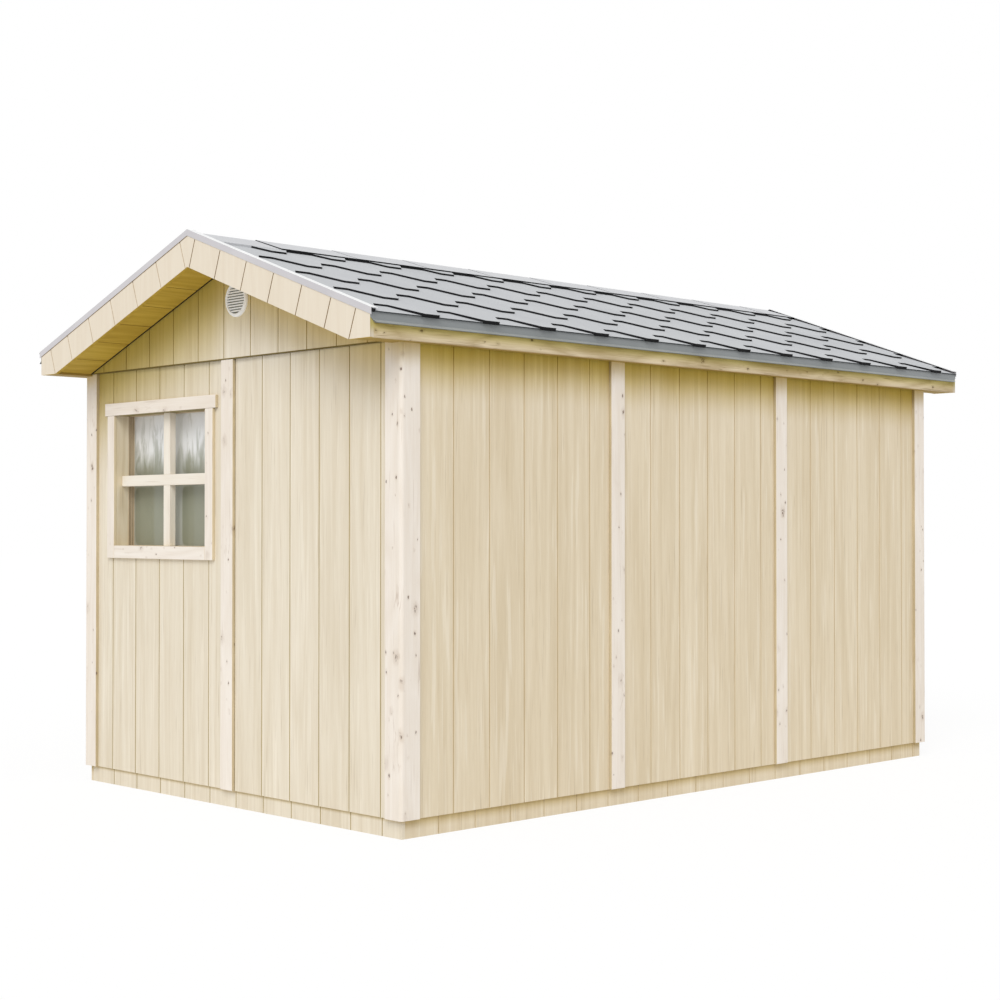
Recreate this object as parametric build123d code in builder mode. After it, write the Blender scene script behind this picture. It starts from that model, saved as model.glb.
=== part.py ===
from build123d import *
from math import cos, radians, tan
import os

os.makedirs("parts", exist_ok=True)

# Timber garden shed with a gable roof, in millimetres.
# X runs along the ridge, Y across the shed, and Z up from the ground.
# The window gable stands at -X, the near side at -Y and the door side at +Y.

# Overall form, over the faces of the corner trims
overall_length = 3760.0
overall_width = 2360.0
wall_top = 1983.0
roof_pitch = 19.8
gable_overhang = 210.0
eave_overhang = 58.0
eave_drop = 8.0

# Boards and sheets
trim_thickness = 16.0
corner_trim_width = 100.0
corner_rounding = 10.0
batten_width = 90.0
sheet_thickness = 9.0
sheet_joint = 3.0
panel_module = 1200.0
stud_width = 45.0
stud_depth = 95.0
stud_spacing = 400.0

# Floor and plinth
floor_height = 100.0
sheet_lap = 24.0
deck_thickness = 18.0
plinth_thickness = 18.0
bearer_width = 45.0
bearer_count = 5

# Window in the gable, placed in the panel between the batten and the corner trim
window_margin = 141.0
window_shift = 17.5
window_height = 623.0
window_head_drop = 210.0
casing_width = 60.0
casing_horn = 22.0
lining_thickness = 22.0
glass_thickness = 4.0
glass_setback = 114.0

# Double door, closed
door_head_drop = 93.0
door_thickness = 40.0
door_gap = 3.0
door_seat = 0.3

# Round louvred vent in each gable
vent_diameter = 164.0
vent_throat = 132.0
vent_collar = 4.0
vent_flange = 5.0
vent_depth = 13.0
vent_rise_share = 0.645
vent_shift = 80.0
slat_count = 9
slat_thickness = 2.5
slat_rise = 9.0

# Roof, with each depth square to the slope
flashing_thickness = 2.0
roofing_thickness = 6.0
roof_deck_thickness = 18.0
rafter_depth = 100.0
rafter_width = 45.0
rafter_spacing = 600.0
rafter_seat_drop = 2.0
ridge_board_width = 45.0
barge_depth = 140.0
barge_thickness = 18.0
fascia_thickness = 18.0
soffit_joint = 0.5
roofing_drip = 6.0
rake_flashing_drop = 20.0
rake_flashing_cover = 60.0
eave_flashing_drop = 45.0
eave_flashing_kick = 6.0
ridge_cap_width = 125.0
ridge_cap_thickness = 4.0

# Planes that the walls share, as distances from the middle of the shed
half_length = overall_length / 2
half_width = overall_width / 2
sheet_setback = trim_thickness
frame_setback = sheet_setback + sheet_thickness
room_setback = frame_setback + stud_depth
half_joint = sheet_joint / 2
half_module = panel_module / 2
half_batten = batten_width / 2
half_stud = stud_width / 2
frame_outer = half_width - frame_setback
frame_inner = half_width - room_setback
wall_base = floor_height - sheet_lap
window_bay = (half_batten, half_width - corner_trim_width)
window_width = window_bay[1] - window_bay[0] - 2 * window_margin
window_middle = (window_bay[0] + window_bay[1]) / 2 - window_shift
window_sill = wall_top - window_head_drop - window_height
door_head = wall_top - door_head_drop
eave_height = wall_top - eave_drop

# Roof planes, as depths below the top of the flashing
roofing_top = flashing_thickness
roofing_base = roofing_top + roofing_thickness
roof_deck_base = roofing_base + roof_deck_thickness
rafter_base = roof_deck_base + rafter_depth
soffit_base = rafter_base + sheet_thickness
pitch_tangent = tan(radians(roof_pitch))
pitch_cosine = cos(radians(roof_pitch))
rafter_seat = wall_top - rafter_seat_drop
ridge_height = rafter_seat + frame_outer * pitch_tangent + rafter_base / pitch_cosine

fascia_face = half_width + eave_overhang
fascia_back = fascia_face - fascia_thickness
barge_face = half_length + gable_overhang
barge_back = barge_face - barge_thickness
eave_soffit_top = eave_height + sheet_thickness


def middle(span):
    """Halfway along a span."""
    return (span[0] + span[1]) / 2


def reach(span):
    """Length of a span."""
    return span[1] - span[0]


def facing(side, inner, outer):
    """Span between two distances from the middle, on the +1 or -1 side."""
    return tuple(sorted((side * inner, side * outer)))


def roof_height(y, depth):
    """Height at y of the plane that lies depth below the roof's top."""
    return ridge_height - depth / pitch_cosine - abs(y) * pitch_tangent


def roof_reach(height, depth):
    """Distance from the ridge at which that plane comes down to a height."""
    return (ridge_height - depth / pitch_cosine - height) / pitch_tangent


def boards(*pieces):
    """Square-edged boards, each filling its spans along X, Y and Z."""
    with BuildPart() as made:
        for x_span, y_span, z_span in pieces:
            with BuildSketch(Plane.XY.offset(z_span[0])):
                with Locations((middle(x_span), middle(y_span))):
                    Rectangle(reach(x_span), reach(y_span))
            extrude(amount=reach(z_span))
    return made


def along_ridge(profile, *x_spans):
    """A closed profile of (y, z) points carried along X over each span."""
    with BuildPart() as made:
        for x_span in x_spans:
            with BuildSketch(Plane.YZ.offset(x_span[0])):
                with BuildLine():
                    Polyline(*profile, close=True)
                make_face()
            extrude(amount=reach(x_span))
    return made


def joined(*shapes):
    """Several shapes as one piece, fused where they meet."""
    with BuildPart() as made:
        for shape in shapes:
            add(shape.part)
    return made


def slope_layer(side, y_span, top, base):
    """Profile of a roof layer on one slope, cut plumb at both ends."""
    inner, outer = y_span
    return [
        (side * inner, roof_height(inner, top)),
        (side * outer, roof_height(outer, top)),
        (side * outer, roof_height(outer, base)),
        (side * inner, roof_height(inner, base)),
    ]


def save(made, name):
    """Label a finished piece and write it to a file of its own."""
    made.part.label = name
    export_step(made.part, f"parts/{name}.step")


# Floor: bearers on the ground, a deck on them and a plinth round both
plinth_face_x = half_length - frame_setback
plinth_face_y = half_width - frame_setback
floor_end = plinth_face_x - plinth_thickness
floor_side = plinth_face_y - plinth_thickness
deck_base = floor_height - deck_thickness
bearer_pitch = (2 * floor_side - bearer_width) / (bearer_count - 1)

with BuildPart() as floor_bearers:
    with BuildSketch():
        with GridLocations(0, bearer_pitch, 1, bearer_count):
            Rectangle(2 * floor_end, bearer_width)
    extrude(amount=deck_base)
save(floor_bearers, "floor_bearers")

with BuildPart() as floor_deck:
    with BuildSketch(Plane.XY.offset(deck_base)):
        Rectangle(2 * floor_end, 2 * floor_side)
    extrude(amount=deck_thickness)
save(floor_deck, "floor_deck")

# Each plinth board covers the end of the next one round the shed.
side_plinths = boards(*(
    (
        facing(side, -plinth_face_x, floor_end),
        facing(side, floor_side, plinth_face_y),
        (0, floor_height),
    )
    for side in (-1, 1)
))
save(side_plinths, "side_plinths")

gable_plinths = boards(*(
    (
        facing(end, floor_end, plinth_face_x),
        facing(-end, -plinth_face_y, floor_side),
        (0, floor_height),
    )
    for end in (-1, 1)
))
save(gable_plinths, "gable_plinths")

# Wall sheets, jointed behind the battens
wall_span = (wall_base, wall_top)
side_sheet_end = half_length - sheet_setback
gable_sheet_end = half_width - frame_setback
bay_spans = (
    (-side_sheet_end, -half_module - half_joint),
    (-half_module + half_joint, half_module - half_joint),
    (half_module + half_joint, side_sheet_end),
)


def side_sheet_span(side):
    """Y span of the wall sheets on one long side."""
    return facing(side, half_width - frame_setback, half_width - sheet_setback)


def gable_sheet_span(end):
    """X span of the lower wall sheets on one gable."""
    return facing(end, half_length - frame_setback, half_length - sheet_setback)


for number, bay in enumerate(bay_spans, start=1):
    near_side_panel = boards((bay, side_sheet_span(-1), wall_span))
    save(near_side_panel, f"near_side_panel_{number}")

far_side_panels = boards(
    (bay_spans[0], side_sheet_span(1), wall_span),
    (bay_spans[2], side_sheet_span(1), wall_span),
)
save(far_side_panels, "far_side_panels")

door_head_panel = boards((bay_spans[1], side_sheet_span(1), (door_head, wall_top)))
save(door_head_panel, "door_head_panel")

plain_half = (-gable_sheet_end, -half_joint)
window_half = (half_joint, gable_sheet_end)
window_gable_plain_panel = boards((gable_sheet_span(-1), plain_half, wall_span))
save(window_gable_plain_panel, "window_gable_plain_panel")

far_gable_panels = boards(
    (gable_sheet_span(1), plain_half, wall_span),
    (gable_sheet_span(1), window_half, wall_span),
)
save(far_gable_panels, "far_gable_panels")

# Window panel, cut to take the window lining
window_centre = window_sill + window_height / 2
lining_width = window_width + 2 * lining_thickness
lining_height = window_height + 2 * lining_thickness
with BuildPart() as window_panel:
    with BuildSketch(Plane.YZ.offset(gable_sheet_span(-1)[0])):
        with Locations((middle(window_half), middle(wall_span))):
            Rectangle(reach(window_half), reach(wall_span))
        with Locations((window_middle, window_centre)):
            Rectangle(lining_width, lining_height, mode=Mode.SUBTRACT)
    extrude(amount=sheet_thickness)
save(window_panel, "window_panel")

# Upper gable panels, which stand over the trims and close the roof's ends
upper_panel_end = half_width - trim_thickness
upper_outline = [
    (-upper_panel_end, wall_top),
    (upper_panel_end, wall_top),
    (upper_panel_end, roof_height(upper_panel_end, roof_deck_base)),
    (0, roof_height(0, roof_deck_base)),
    (-upper_panel_end, roof_height(upper_panel_end, roof_deck_base)),
]
upper_panel_back = half_length - sheet_thickness
throat_radius = vent_throat / 2
vent_height = wall_top + vent_rise_share * (roof_height(0, soffit_base) - wall_top)


def upper_panel(end):
    """Upper gable panel with the hole behind its vent."""
    x_span = facing(end, upper_panel_back, half_length)
    with BuildPart() as made:
        with BuildSketch(Plane.YZ.offset(x_span[0])):
            with BuildLine():
                Polyline(*upper_outline, close=True)
            make_face()
            with Locations((end * vent_shift, vent_height)):
                Circle(throat_radius, mode=Mode.SUBTRACT)
        extrude(amount=reach(x_span))
    return made


def gable_vent(end):
    """Round vent with a flange, a collar and sloping slats across its throat."""
    y = end * vent_shift
    face = Plane(origin=(end * half_length, y, vent_height), x_dir=(0, 1, 0), z_dir=(end, 0, 0))
    slat_pitch = vent_throat / slat_count
    slat_outline = [
        (0, slat_rise - slat_thickness),
        (vent_depth, -slat_thickness),
        (vent_depth, 0),
        (0, slat_rise),
    ]
    with BuildPart() as made:
        for row in range(slat_count):
            height = vent_height + (row - (slat_count - 1) / 2) * slat_pitch - slat_rise / 2
            row_origin = (end * half_length, y, height)
            with BuildSketch(Plane(origin=row_origin, x_dir=(end, 0, 0), z_dir=(0, -end, 0))):
                with BuildLine():
                    Polyline(*slat_outline, close=True)
                make_face()
            extrude(amount=throat_radius, both=True)
        with BuildSketch(face):
            Circle(throat_radius + vent_collar / 2)
        extrude(amount=vent_depth, mode=Mode.INTERSECT)
        with BuildSketch(face):
            Circle(throat_radius + vent_collar)
            Circle(throat_radius, mode=Mode.SUBTRACT)
        extrude(amount=vent_depth)
        with BuildSketch(face):
            Circle(vent_diameter / 2)
            Circle(throat_radius, mode=Mode.SUBTRACT)
        extrude(amount=vent_flange)
    return made


for end, gable in ((-1, "window_gable"), (1, "far_gable")):
    save(upper_panel(end), f"{gable}_upper_panel")
    save(gable_vent(end), f"{gable}_vent")

# Corner trims, each of two boards that meet at the corner
trim_back_x = half_length - trim_thickness
trim_back_y = half_width - trim_thickness


def at_corner(point):
    """Whether a point lies on one of the shed's four outer corners."""
    return abs(point.X) > trim_back_x and abs(point.Y) > trim_back_y


for side, name in ((-1, "near_corner_trims"), (1, "far_corner_trims")):
    square_trims = boards(*(
        piece
        for end in (-1, 1)
        for piece in (
            (
                facing(end, half_length - corner_trim_width, half_length),
                facing(side, trim_back_y, half_width),
                wall_span,
            ),
            (
                facing(end, trim_back_x, half_length),
                facing(side, half_width - corner_trim_width, half_width),
                wall_span,
            ),
        )
    ))
    with BuildPart() as corner_trims:
        add(square_trims.part)
        uprights = corner_trims.edges().filter_by(Axis.Z)
        arrises = [edge for edge in uprights if at_corner(edge.center())]
        fillet(arrises, radius=corner_rounding)
    save(corner_trims, name)

# Battens over the joints between sheets
for side, name in ((-1, "near_side_battens"), (1, "far_side_battens")):
    side_battens = boards(*(
        (
            (x - half_batten, x + half_batten),
            facing(side, trim_back_y, half_width),
            wall_span,
        )
        for x in (-half_module, half_module)
    ))
    save(side_battens, name)

for end, name in ((-1, "window_gable_batten"), (1, "far_gable_batten")):
    gable_batten = boards((
        facing(end, trim_back_x, half_length),
        (-half_batten, half_batten),
        wall_span,
    ))
    save(gable_batten, name)

# Window: casing on the sheet, lining through the wall and the pane in the lining
casing_head = window_sill + window_height + casing_width
casing_foot = window_sill - casing_width
casing_outer = window_width + 2 * casing_width
with BuildPart() as window_casing:
    with BuildSketch(Plane.YZ.offset(-half_length)):
        with Locations((window_middle, middle((casing_foot, casing_head)))):
            Rectangle(casing_outer, casing_head - casing_foot)
        with Locations((window_middle, casing_head - casing_width / 2)):
            Rectangle(casing_outer + 2 * casing_horn, casing_width)
        with Locations((window_middle, window_centre)):
            Rectangle(window_width, window_height, mode=Mode.SUBTRACT)
    extrude(amount=trim_thickness)
save(window_casing, "window_casing")

with BuildPart() as window_frame:
    with BuildSketch(Plane.YZ.offset(-half_length + trim_thickness)):
        with Locations((window_middle, window_centre)):
            Rectangle(lining_width, lining_height)
            Rectangle(window_width, window_height, mode=Mode.SUBTRACT)
    extrude(amount=room_setback - trim_thickness)
save(window_frame, "window_frame")

with BuildPart() as window_glass:
    with BuildSketch(Plane.YZ.offset(-half_length + glass_setback)):
        with Locations((window_middle, window_centre)):
            Rectangle(window_width, window_height)
    extrude(amount=glass_thickness)
save(window_glass, "window_glass")

# Wall frames of studs between a sole plate and a top plate
frame_end = half_length - frame_setback
sole_span = (floor_height, floor_height + stud_width)
plate_foot = roof_height(frame_outer, rafter_base) - stud_width
stud_rows = int(frame_end // stud_spacing)
inner_studs = [row * stud_spacing for row in range(-stud_rows, stud_rows + 1)]
end_studs = [-frame_end + half_stud, frame_end - half_stud]
plate_outline = [
    (frame_outer, plate_foot),
    (frame_outer, roof_height(frame_outer, rafter_base)),
    (frame_inner, roof_height(frame_inner, rafter_base)),
    (frame_inner, plate_foot),
]


def side_frame(side, stud_places, soles, rails):
    """Long wall frame with a top plate bevelled to the rafters."""
    y_span = facing(side, frame_inner, frame_outer)
    stud_span = (floor_height, plate_foot)
    pieces = [((x - half_stud, x + half_stud), y_span, stud_span) for x in stud_places]
    pieces += [(sole, y_span, sole_span) for sole in soles]
    pieces += [(x_span, y_span, z_span) for x_span, z_span in rails]
    plate = [(side * y, z) for y, z in plate_outline]
    return joined(boards(*pieces), along_ridge(plate, (-frame_end, frame_end)))


near_side_frame = side_frame(-1, inner_studs + end_studs, [(-frame_end, frame_end)], [])
save(near_side_frame, "near_side_frame")

# The door stands between the two studs behind its battens.
door_post = half_module
door_studs = [x for x in inner_studs if abs(x) > door_post + stud_width]
far_side_frame = side_frame(
    1,
    door_studs + end_studs + [-door_post, door_post],
    [(-frame_end, -door_post), (door_post, frame_end)],
    [((-door_post, door_post), (door_head, door_head + stud_width))],
)
save(far_side_frame, "far_side_frame")

door_edge = door_post - half_stud - door_seat
door_span = (floor_height + door_gap, door_head - door_gap)
door_depth = facing(1, half_width - sheet_setback - door_thickness, half_width - sheet_setback)
for hand, name in ((-1, "door_leaf_left"), (1, "door_leaf_right")):
    door_leaf = boards((facing(hand, door_gap / 2, door_edge), door_depth, door_span))
    save(door_leaf, name)

top_plate_span = (wall_top - stud_width, wall_top)
gable_stud_rows = int(frame_inner // stud_spacing)
gable_studs = [row * stud_spacing for row in range(-gable_stud_rows, gable_stud_rows + 1)]
gable_end_studs = [-frame_inner + half_stud, frame_inner - half_stud]
jamb_offset = lining_width / 2 + half_stud
window_jambs = [window_middle - jamb_offset, window_middle + jamb_offset]
rail_span = (window_jambs[0], window_jambs[1])
lining_foot = window_centre - lining_height / 2
lining_head = window_centre + lining_height / 2


def gable_frame(end, full_studs, short_studs, rails):
    """Gable wall frame, with short studs and rails given by their own spans."""
    x_span = facing(end, half_length - room_setback, half_length - frame_setback)
    y_full = (-frame_inner, frame_inner)
    pieces = [(x_span, y_full, sole_span), (x_span, y_full, top_plate_span)]
    for y in full_studs:
        pieces.append((x_span, (y - half_stud, y + half_stud), (floor_height, wall_top)))
    for y, z_span in short_studs:
        pieces.append((x_span, (y - half_stud, y + half_stud), z_span))
    for y_span, z_span in rails:
        pieces.append((x_span, y_span, z_span))
    return boards(*pieces)


window_gable_frame = gable_frame(
    -1,
    [y for y in gable_studs if y <= 0] + gable_end_studs + window_jambs,
    [
        (window_middle, (floor_height, lining_foot)),
        (window_middle, (lining_head, wall_top)),
    ],
    [
        (rail_span, (lining_foot - stud_width, lining_foot)),
        (rail_span, (lining_head, lining_head + stud_width)),
    ],
)
save(window_gable_frame, "window_gable_frame")

far_gable_frame = gable_frame(1, gable_studs + gable_end_studs, [], [])
save(far_gable_frame, "far_gable_frame")

# Roof timbers: a ridge board and rafters whose tails are cut level at the eaves
ridge_half = ridge_board_width / 2
ridge_outline = [
    (-ridge_half, roof_height(ridge_half, rafter_base)),
    (ridge_half, roof_height(ridge_half, rafter_base)),
    (ridge_half, roof_height(ridge_half, roof_deck_base)),
    (0, roof_height(0, roof_deck_base)),
    (-ridge_half, roof_height(ridge_half, roof_deck_base)),
]
ridge_board = along_ridge(ridge_outline, (-upper_panel_back, upper_panel_back))
save(ridge_board, "ridge_board")

rafter_rows = int((upper_panel_back - rafter_width) // rafter_spacing)
half_rafter = rafter_width / 2
room_rafters = [
    (row * rafter_spacing - half_rafter, row * rafter_spacing + half_rafter)
    for row in range(-rafter_rows, rafter_rows + 1)
]
gable_rafters = [facing(end, upper_panel_back - rafter_width, upper_panel_back) for end in (-1, 1)]
verge_rafters = [facing(end, barge_back - rafter_width, barge_back) for end in (-1, 1)]
tail_start = roof_reach(eave_soffit_top, rafter_base)


def rafter_outline(side, inner):
    """Rafter from a plumb cut at the ridge to a level cut behind the fascia."""
    return [
        (side * inner, roof_height(inner, roof_deck_base)),
        (side * fascia_back, roof_height(fascia_back, roof_deck_base)),
        (side * fascia_back, eave_soffit_top),
        (side * tail_start, eave_soffit_top),
        (side * inner, roof_height(inner, rafter_base)),
    ]


# Coverings of the two slopes, and what finishes their edges
roofing_edge = fascia_face + flashing_thickness + roofing_drip
soffit_end = roof_reach(eave_soffit_top + soffit_joint, soffit_base)
barge_base = roofing_base + barge_depth
barge_level = roof_reach(eave_height, barge_base)
flashing_top = roof_height(fascia_face, roofing_base)
flashing_foot = flashing_top - eave_flashing_drop
flashing_face = fascia_face + flashing_thickness
rake_face = barge_face + flashing_thickness


def eave_flashing_outline(side):
    """Folded eave flashing: a plumb face with its lower edge kicked out."""
    points = [
        (fascia_face, flashing_top),
        (flashing_face, roof_height(flashing_face, roofing_base)),
        (flashing_face, flashing_foot + eave_flashing_kick),
        (flashing_face + eave_flashing_kick, flashing_foot),
        (fascia_face + eave_flashing_kick, flashing_foot),
        (fascia_face, flashing_foot + eave_flashing_kick),
    ]
    return [(side * y, z) for y, z in points]


def soffits(side):
    """Sloping verge soffits at both gables and the level strip under the eave."""
    slope = slope_layer(side, (0, soffit_end), rafter_base, soffit_base)
    verges = [facing(end, half_length, barge_back) for end in (-1, 1)]
    level = (eave_height, eave_soffit_top)
    strip = ((-barge_back, barge_back), facing(side, half_width, fascia_back), level)
    returns = [(verge, facing(side, soffit_end, fascia_back), level) for verge in verges]
    return joined(along_ridge(slope, *verges), boards(strip, *returns))


def rake_flashings(side):
    """Folded verge flashings: a leg on the roofing and a leg down the barge."""
    run = (0, roofing_edge)
    covers = [facing(end, barge_face - rake_flashing_cover, rake_face) for end in (-1, 1)]
    drops = [facing(end, barge_face, rake_face) for end in (-1, 1)]
    return joined(
        along_ridge(slope_layer(side, run, 0, roofing_top), *covers),
        along_ridge(slope_layer(side, run, 0, rake_flashing_drop), *drops),
    )


for side, slope in ((-1, "near"), (1, "far")):
    rafters = joined(
        along_ridge(rafter_outline(side, ridge_half), *room_rafters, *gable_rafters),
        along_ridge(rafter_outline(side, 0), *verge_rafters),
    )
    save(rafters, f"{slope}_rafters")

    deck_outline = slope_layer(side, (0, fascia_face), roofing_base, roof_deck_base)
    roof_deck = along_ridge(deck_outline, (-barge_back, barge_back))
    save(roof_deck, f"{slope}_roof_deck")

    roofing_outline = slope_layer(side, (0, roofing_edge), roofing_top, roofing_base)
    roofing = along_ridge(roofing_outline, (-barge_face, barge_face))
    save(roofing, f"{slope}_roofing")

    fascia_outline = [
        (side * fascia_back, eave_height),
        (side * fascia_face, eave_height),
        (side * fascia_face, roof_height(fascia_face, roof_deck_base)),
        (side * fascia_back, roof_height(fascia_back, roof_deck_base)),
    ]
    eave_fascia = along_ridge(fascia_outline, (-barge_back, barge_back))
    save(eave_fascia, f"{slope}_eave_fascia")

    eave_flashing = along_ridge(eave_flashing_outline(side), (-barge_face, barge_face))
    save(eave_flashing, f"{slope}_eave_flashing")

    barge_outline = [
        (0, roof_height(0, roofing_base)),
        (side * fascia_face, roof_height(fascia_face, roofing_base)),
        (side * fascia_face, eave_height),
        (side * barge_level, eave_height),
        (0, roof_height(0, barge_base)),
    ]
    for end, gable in ((-1, "window"), (1, "far")):
        barge_board = along_ridge(barge_outline, facing(end, barge_back, barge_face))
        save(barge_board, f"{gable}_gable_{slope}_barge_board")

    save(rake_flashings(side), f"{slope}_rake_flashings")
    save(soffits(side), f"{slope}_soffits")

# Ridge cap, folded over both slopes between the verge flashings
cap_top = roofing_top - ridge_cap_thickness
cap_run = ridge_cap_width * pitch_cosine
cap_end = barge_face - rake_flashing_cover
cap_outline = [
    (-cap_run, roof_height(cap_run, roofing_top)),
    (-cap_run, roof_height(cap_run, cap_top)),
    (0, roof_height(0, cap_top)),
    (cap_run, roof_height(cap_run, cap_top)),
    (cap_run, roof_height(cap_run, roofing_top)),
    (0, roof_height(0, roofing_top)),
]
ridge_cap = along_ridge(cap_outline, (-cap_end, cap_end))
save(ridge_cap, "ridge_cap")
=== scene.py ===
"""Looks of a timber garden shed, built around its packed construction.

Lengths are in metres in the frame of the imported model: the window gable faces -X, the near long
wall faces -Y and +Z is up.
"""

from __future__ import annotations

import logging
import math
from dataclasses import dataclass, field, replace
from enum import Enum, IntEnum, auto
from functools import cached_property
from typing import Callable, Iterable, Optional, Sequence, Union

import bmesh
import bpy
from mathutils import Matrix, Vector
from mathutils.geometry import convex_hull_2d


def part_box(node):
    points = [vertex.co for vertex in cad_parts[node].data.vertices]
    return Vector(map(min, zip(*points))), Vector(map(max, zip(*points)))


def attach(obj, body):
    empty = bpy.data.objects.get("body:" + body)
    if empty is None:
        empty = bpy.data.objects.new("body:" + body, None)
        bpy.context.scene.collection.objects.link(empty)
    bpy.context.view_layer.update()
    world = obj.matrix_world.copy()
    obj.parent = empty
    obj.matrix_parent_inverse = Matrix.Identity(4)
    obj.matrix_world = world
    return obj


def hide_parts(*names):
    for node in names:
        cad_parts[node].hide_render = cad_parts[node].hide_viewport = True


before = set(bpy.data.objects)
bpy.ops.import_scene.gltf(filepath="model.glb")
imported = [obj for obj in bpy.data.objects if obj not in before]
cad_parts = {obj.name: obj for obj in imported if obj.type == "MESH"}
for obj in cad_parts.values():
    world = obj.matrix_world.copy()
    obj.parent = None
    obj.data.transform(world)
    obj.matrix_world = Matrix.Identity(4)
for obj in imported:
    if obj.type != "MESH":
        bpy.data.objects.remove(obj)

LOG = logging.getLogger("garden_shed")

BODY = "root"

X_AXIS = Vector((1, 0, 0))
Y_AXIS = Vector((0, 1, 0))
Z_AXIS = Vector((0, 0, 1))

# Distance below which two places count as one.
TINY = 1e-5
# Cosines that tell how a face lies to a direction.
SQUARE_ON = 0.9
DOWNWARD = 0.8
EDGE_ON = 0.7
SLANTING = 0.3
LENGTHWISE = 0.2
# Least angle in radians between the faces at a sharp edge.
SHARP = 0.5

# The curve between a screen's levels and linear light.
TOP_LEVEL = 255
KNEE = 0.04045
KNEE_SLOPE = 12.92
TOE = 0.055
GAMMA = 2.4

# Places of the mix node's colour sockets, which share their names with its other sockets.
MIX_SHARE = 0
MIX_FIRST = 6
MIX_SECOND = 7
MIX_RESULT = 2

Colour = tuple[float, float, float, float]
Triple = tuple[float, float, float]
Socket = bpy.types.NodeSocket
InputValue = Union[Socket, float, Sequence[float]]
FaceTest = Callable[[bmesh.types.BMFace], bool]
EdgeTest = Callable[[bmesh.types.BMEdge], bool]

WHITE: Colour = (1.0, 1.0, 1.0, 1.0)


def srgb(red: int, green: int, blue: int) -> Colour:
    """Turn a colour as it is seen on a screen into the linear one that a shader takes.

    Args:
        red: Red from 0 to 255.
        green: Green from 0 to 255.
        blue: Blue from 0 to 255.

    Returns:
        The linear colour with full opacity.
    """
    linear = []
    for level in (red, green, blue):
        share = level / TOP_LEVEL
        curved = ((share + TOE) / (1 + TOE)) ** GAMMA
        linear.append(share / KNEE_SLOPE if share <= KNEE else curved)
    return (linear[0], linear[1], linear[2], 1.0)


class Side(Enum):
    """The two long sides of the shed, by the sign of Y that they face."""

    NEAR = -1
    FAR = 1

    @property
    def word(self) -> str:
        """Name of the side in the node names."""
        return self.name.lower()

    @property
    def out(self) -> Vector:
        """Direction that the side's wall faces."""
        return Y_AXIS * self.value


class Gable(Enum):
    """The two gables of the shed, by the sign of X that they face."""

    WINDOW = -1
    FAR = 1

    @property
    def word(self) -> str:
        """Name of the gable in the node names."""
        return f"{self.name.lower()}_gable"

    @property
    def out(self) -> Vector:
        """Direction that the gable faces."""
        return X_AXIS * self.value


class Grain(Enum):
    """The direction that a board's grain runs in, by its axis."""

    ALONG_X = 0
    ALONG_Y = 1
    ALONG_Z = 2

    def stretch(self, along: float) -> Triple:
        """Give the scale on each axis of a pattern that is drawn out along the grain."""
        x, y, z = (along if axis is self else 1.0 for axis in Grain)
        return (x, y, z)


class Coat(IntEnum):
    """What a finish covers on a piece."""

    FACE = 0
    GROOVE = auto()
    EDGE = auto()
    END = auto()
    UNDERSIDE = auto()
    SEAM = auto()
    HEM = auto()
    FOOT = auto()
    SCREEN = auto()
    LEVEL = auto()
    UPRIGHT = auto()
    SASH = auto()
    STRIP = auto()
    LIP = auto()
    STARTER = auto()
    FOLD = auto()
    TOP = auto()


@dataclass(frozen=True)
class Span:
    """A stretch between two places on a line, or a range of values."""

    low: float
    high: float

    @classmethod
    def over(cls, places: Sequence[float]) -> "Span":
        """Give the stretch that covers all the places."""
        return cls(min(places), max(places))

    @classmethod
    def about(cls, middle: float, reach: float) -> "Span":
        """Give the stretch that reaches as far to both sides of its middle."""
        return cls(middle - reach, middle + reach)

    @property
    def length(self) -> float:
        """Length of the stretch."""
        return self.high - self.low

    @property
    def middle(self) -> float:
        """Middle of the stretch."""
        return (self.low + self.high) / 2

    def times(self, factor: float) -> "Span":
        """Give the stretch with both its ends multiplied."""
        return Span(self.low * factor, self.high * factor)

    def holds(self, place: float, margin: float) -> bool:
        """Tell whether a place lies inside the stretch by more than a margin."""
        return self.low + margin < place < self.high - margin

    def within(self, places: Sequence[float], margin: float) -> list[float]:
        """Give the places that lie inside the stretch by more than a margin."""
        return [place for place in places if self.holds(place, margin)]


UNIT = Span(0.0, 1.0)
TONE_RANGE = Span(0.3, 0.7)
MIDDLE_TONE = 0.5


def corners(node: str) -> list[Vector]:
    """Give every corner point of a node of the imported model."""
    return [vertex.co.copy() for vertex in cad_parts[node].data.vertices]


def halves(node: str, axis: Vector) -> list[list[Vector]]:
    """Give the corner points of a node's two mirrored solids, the negative one first."""
    points = corners(node)
    return [[p for p in points if p.dot(axis) < 0], [p for p in points if p.dot(axis) > 0]]


def distinct(places: Iterable[float], digits: int) -> list[float]:
    """Give the different places among many, rounded and in order."""
    return sorted({round(place, digits) for place in places})


def outline_of(flat: Sequence[Vector]) -> list[Vector]:
    """Give the points on the outline round flat points, in order."""
    return [flat[i] for i in convex_hull_2d([(p.x, p.y) for p in flat])]


def looks(direction: Vector, least: float = SQUARE_ON) -> FaceTest:
    """Give the test of whether a face looks in a direction."""
    return lambda face: face.normal.dot(direction) > least


def looks_along(direction: Vector, least: float = SQUARE_ON) -> FaceTest:
    """Give the test of whether a face looks in a direction or in its opposite."""
    return lambda face: abs(face.normal.dot(direction)) > least


def edge_on(direction: Vector) -> FaceTest:
    """Give the test of whether a face is an edge of what lies square to a direction."""
    return lambda face: abs(face.normal.dot(direction)) < EDGE_ON


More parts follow.
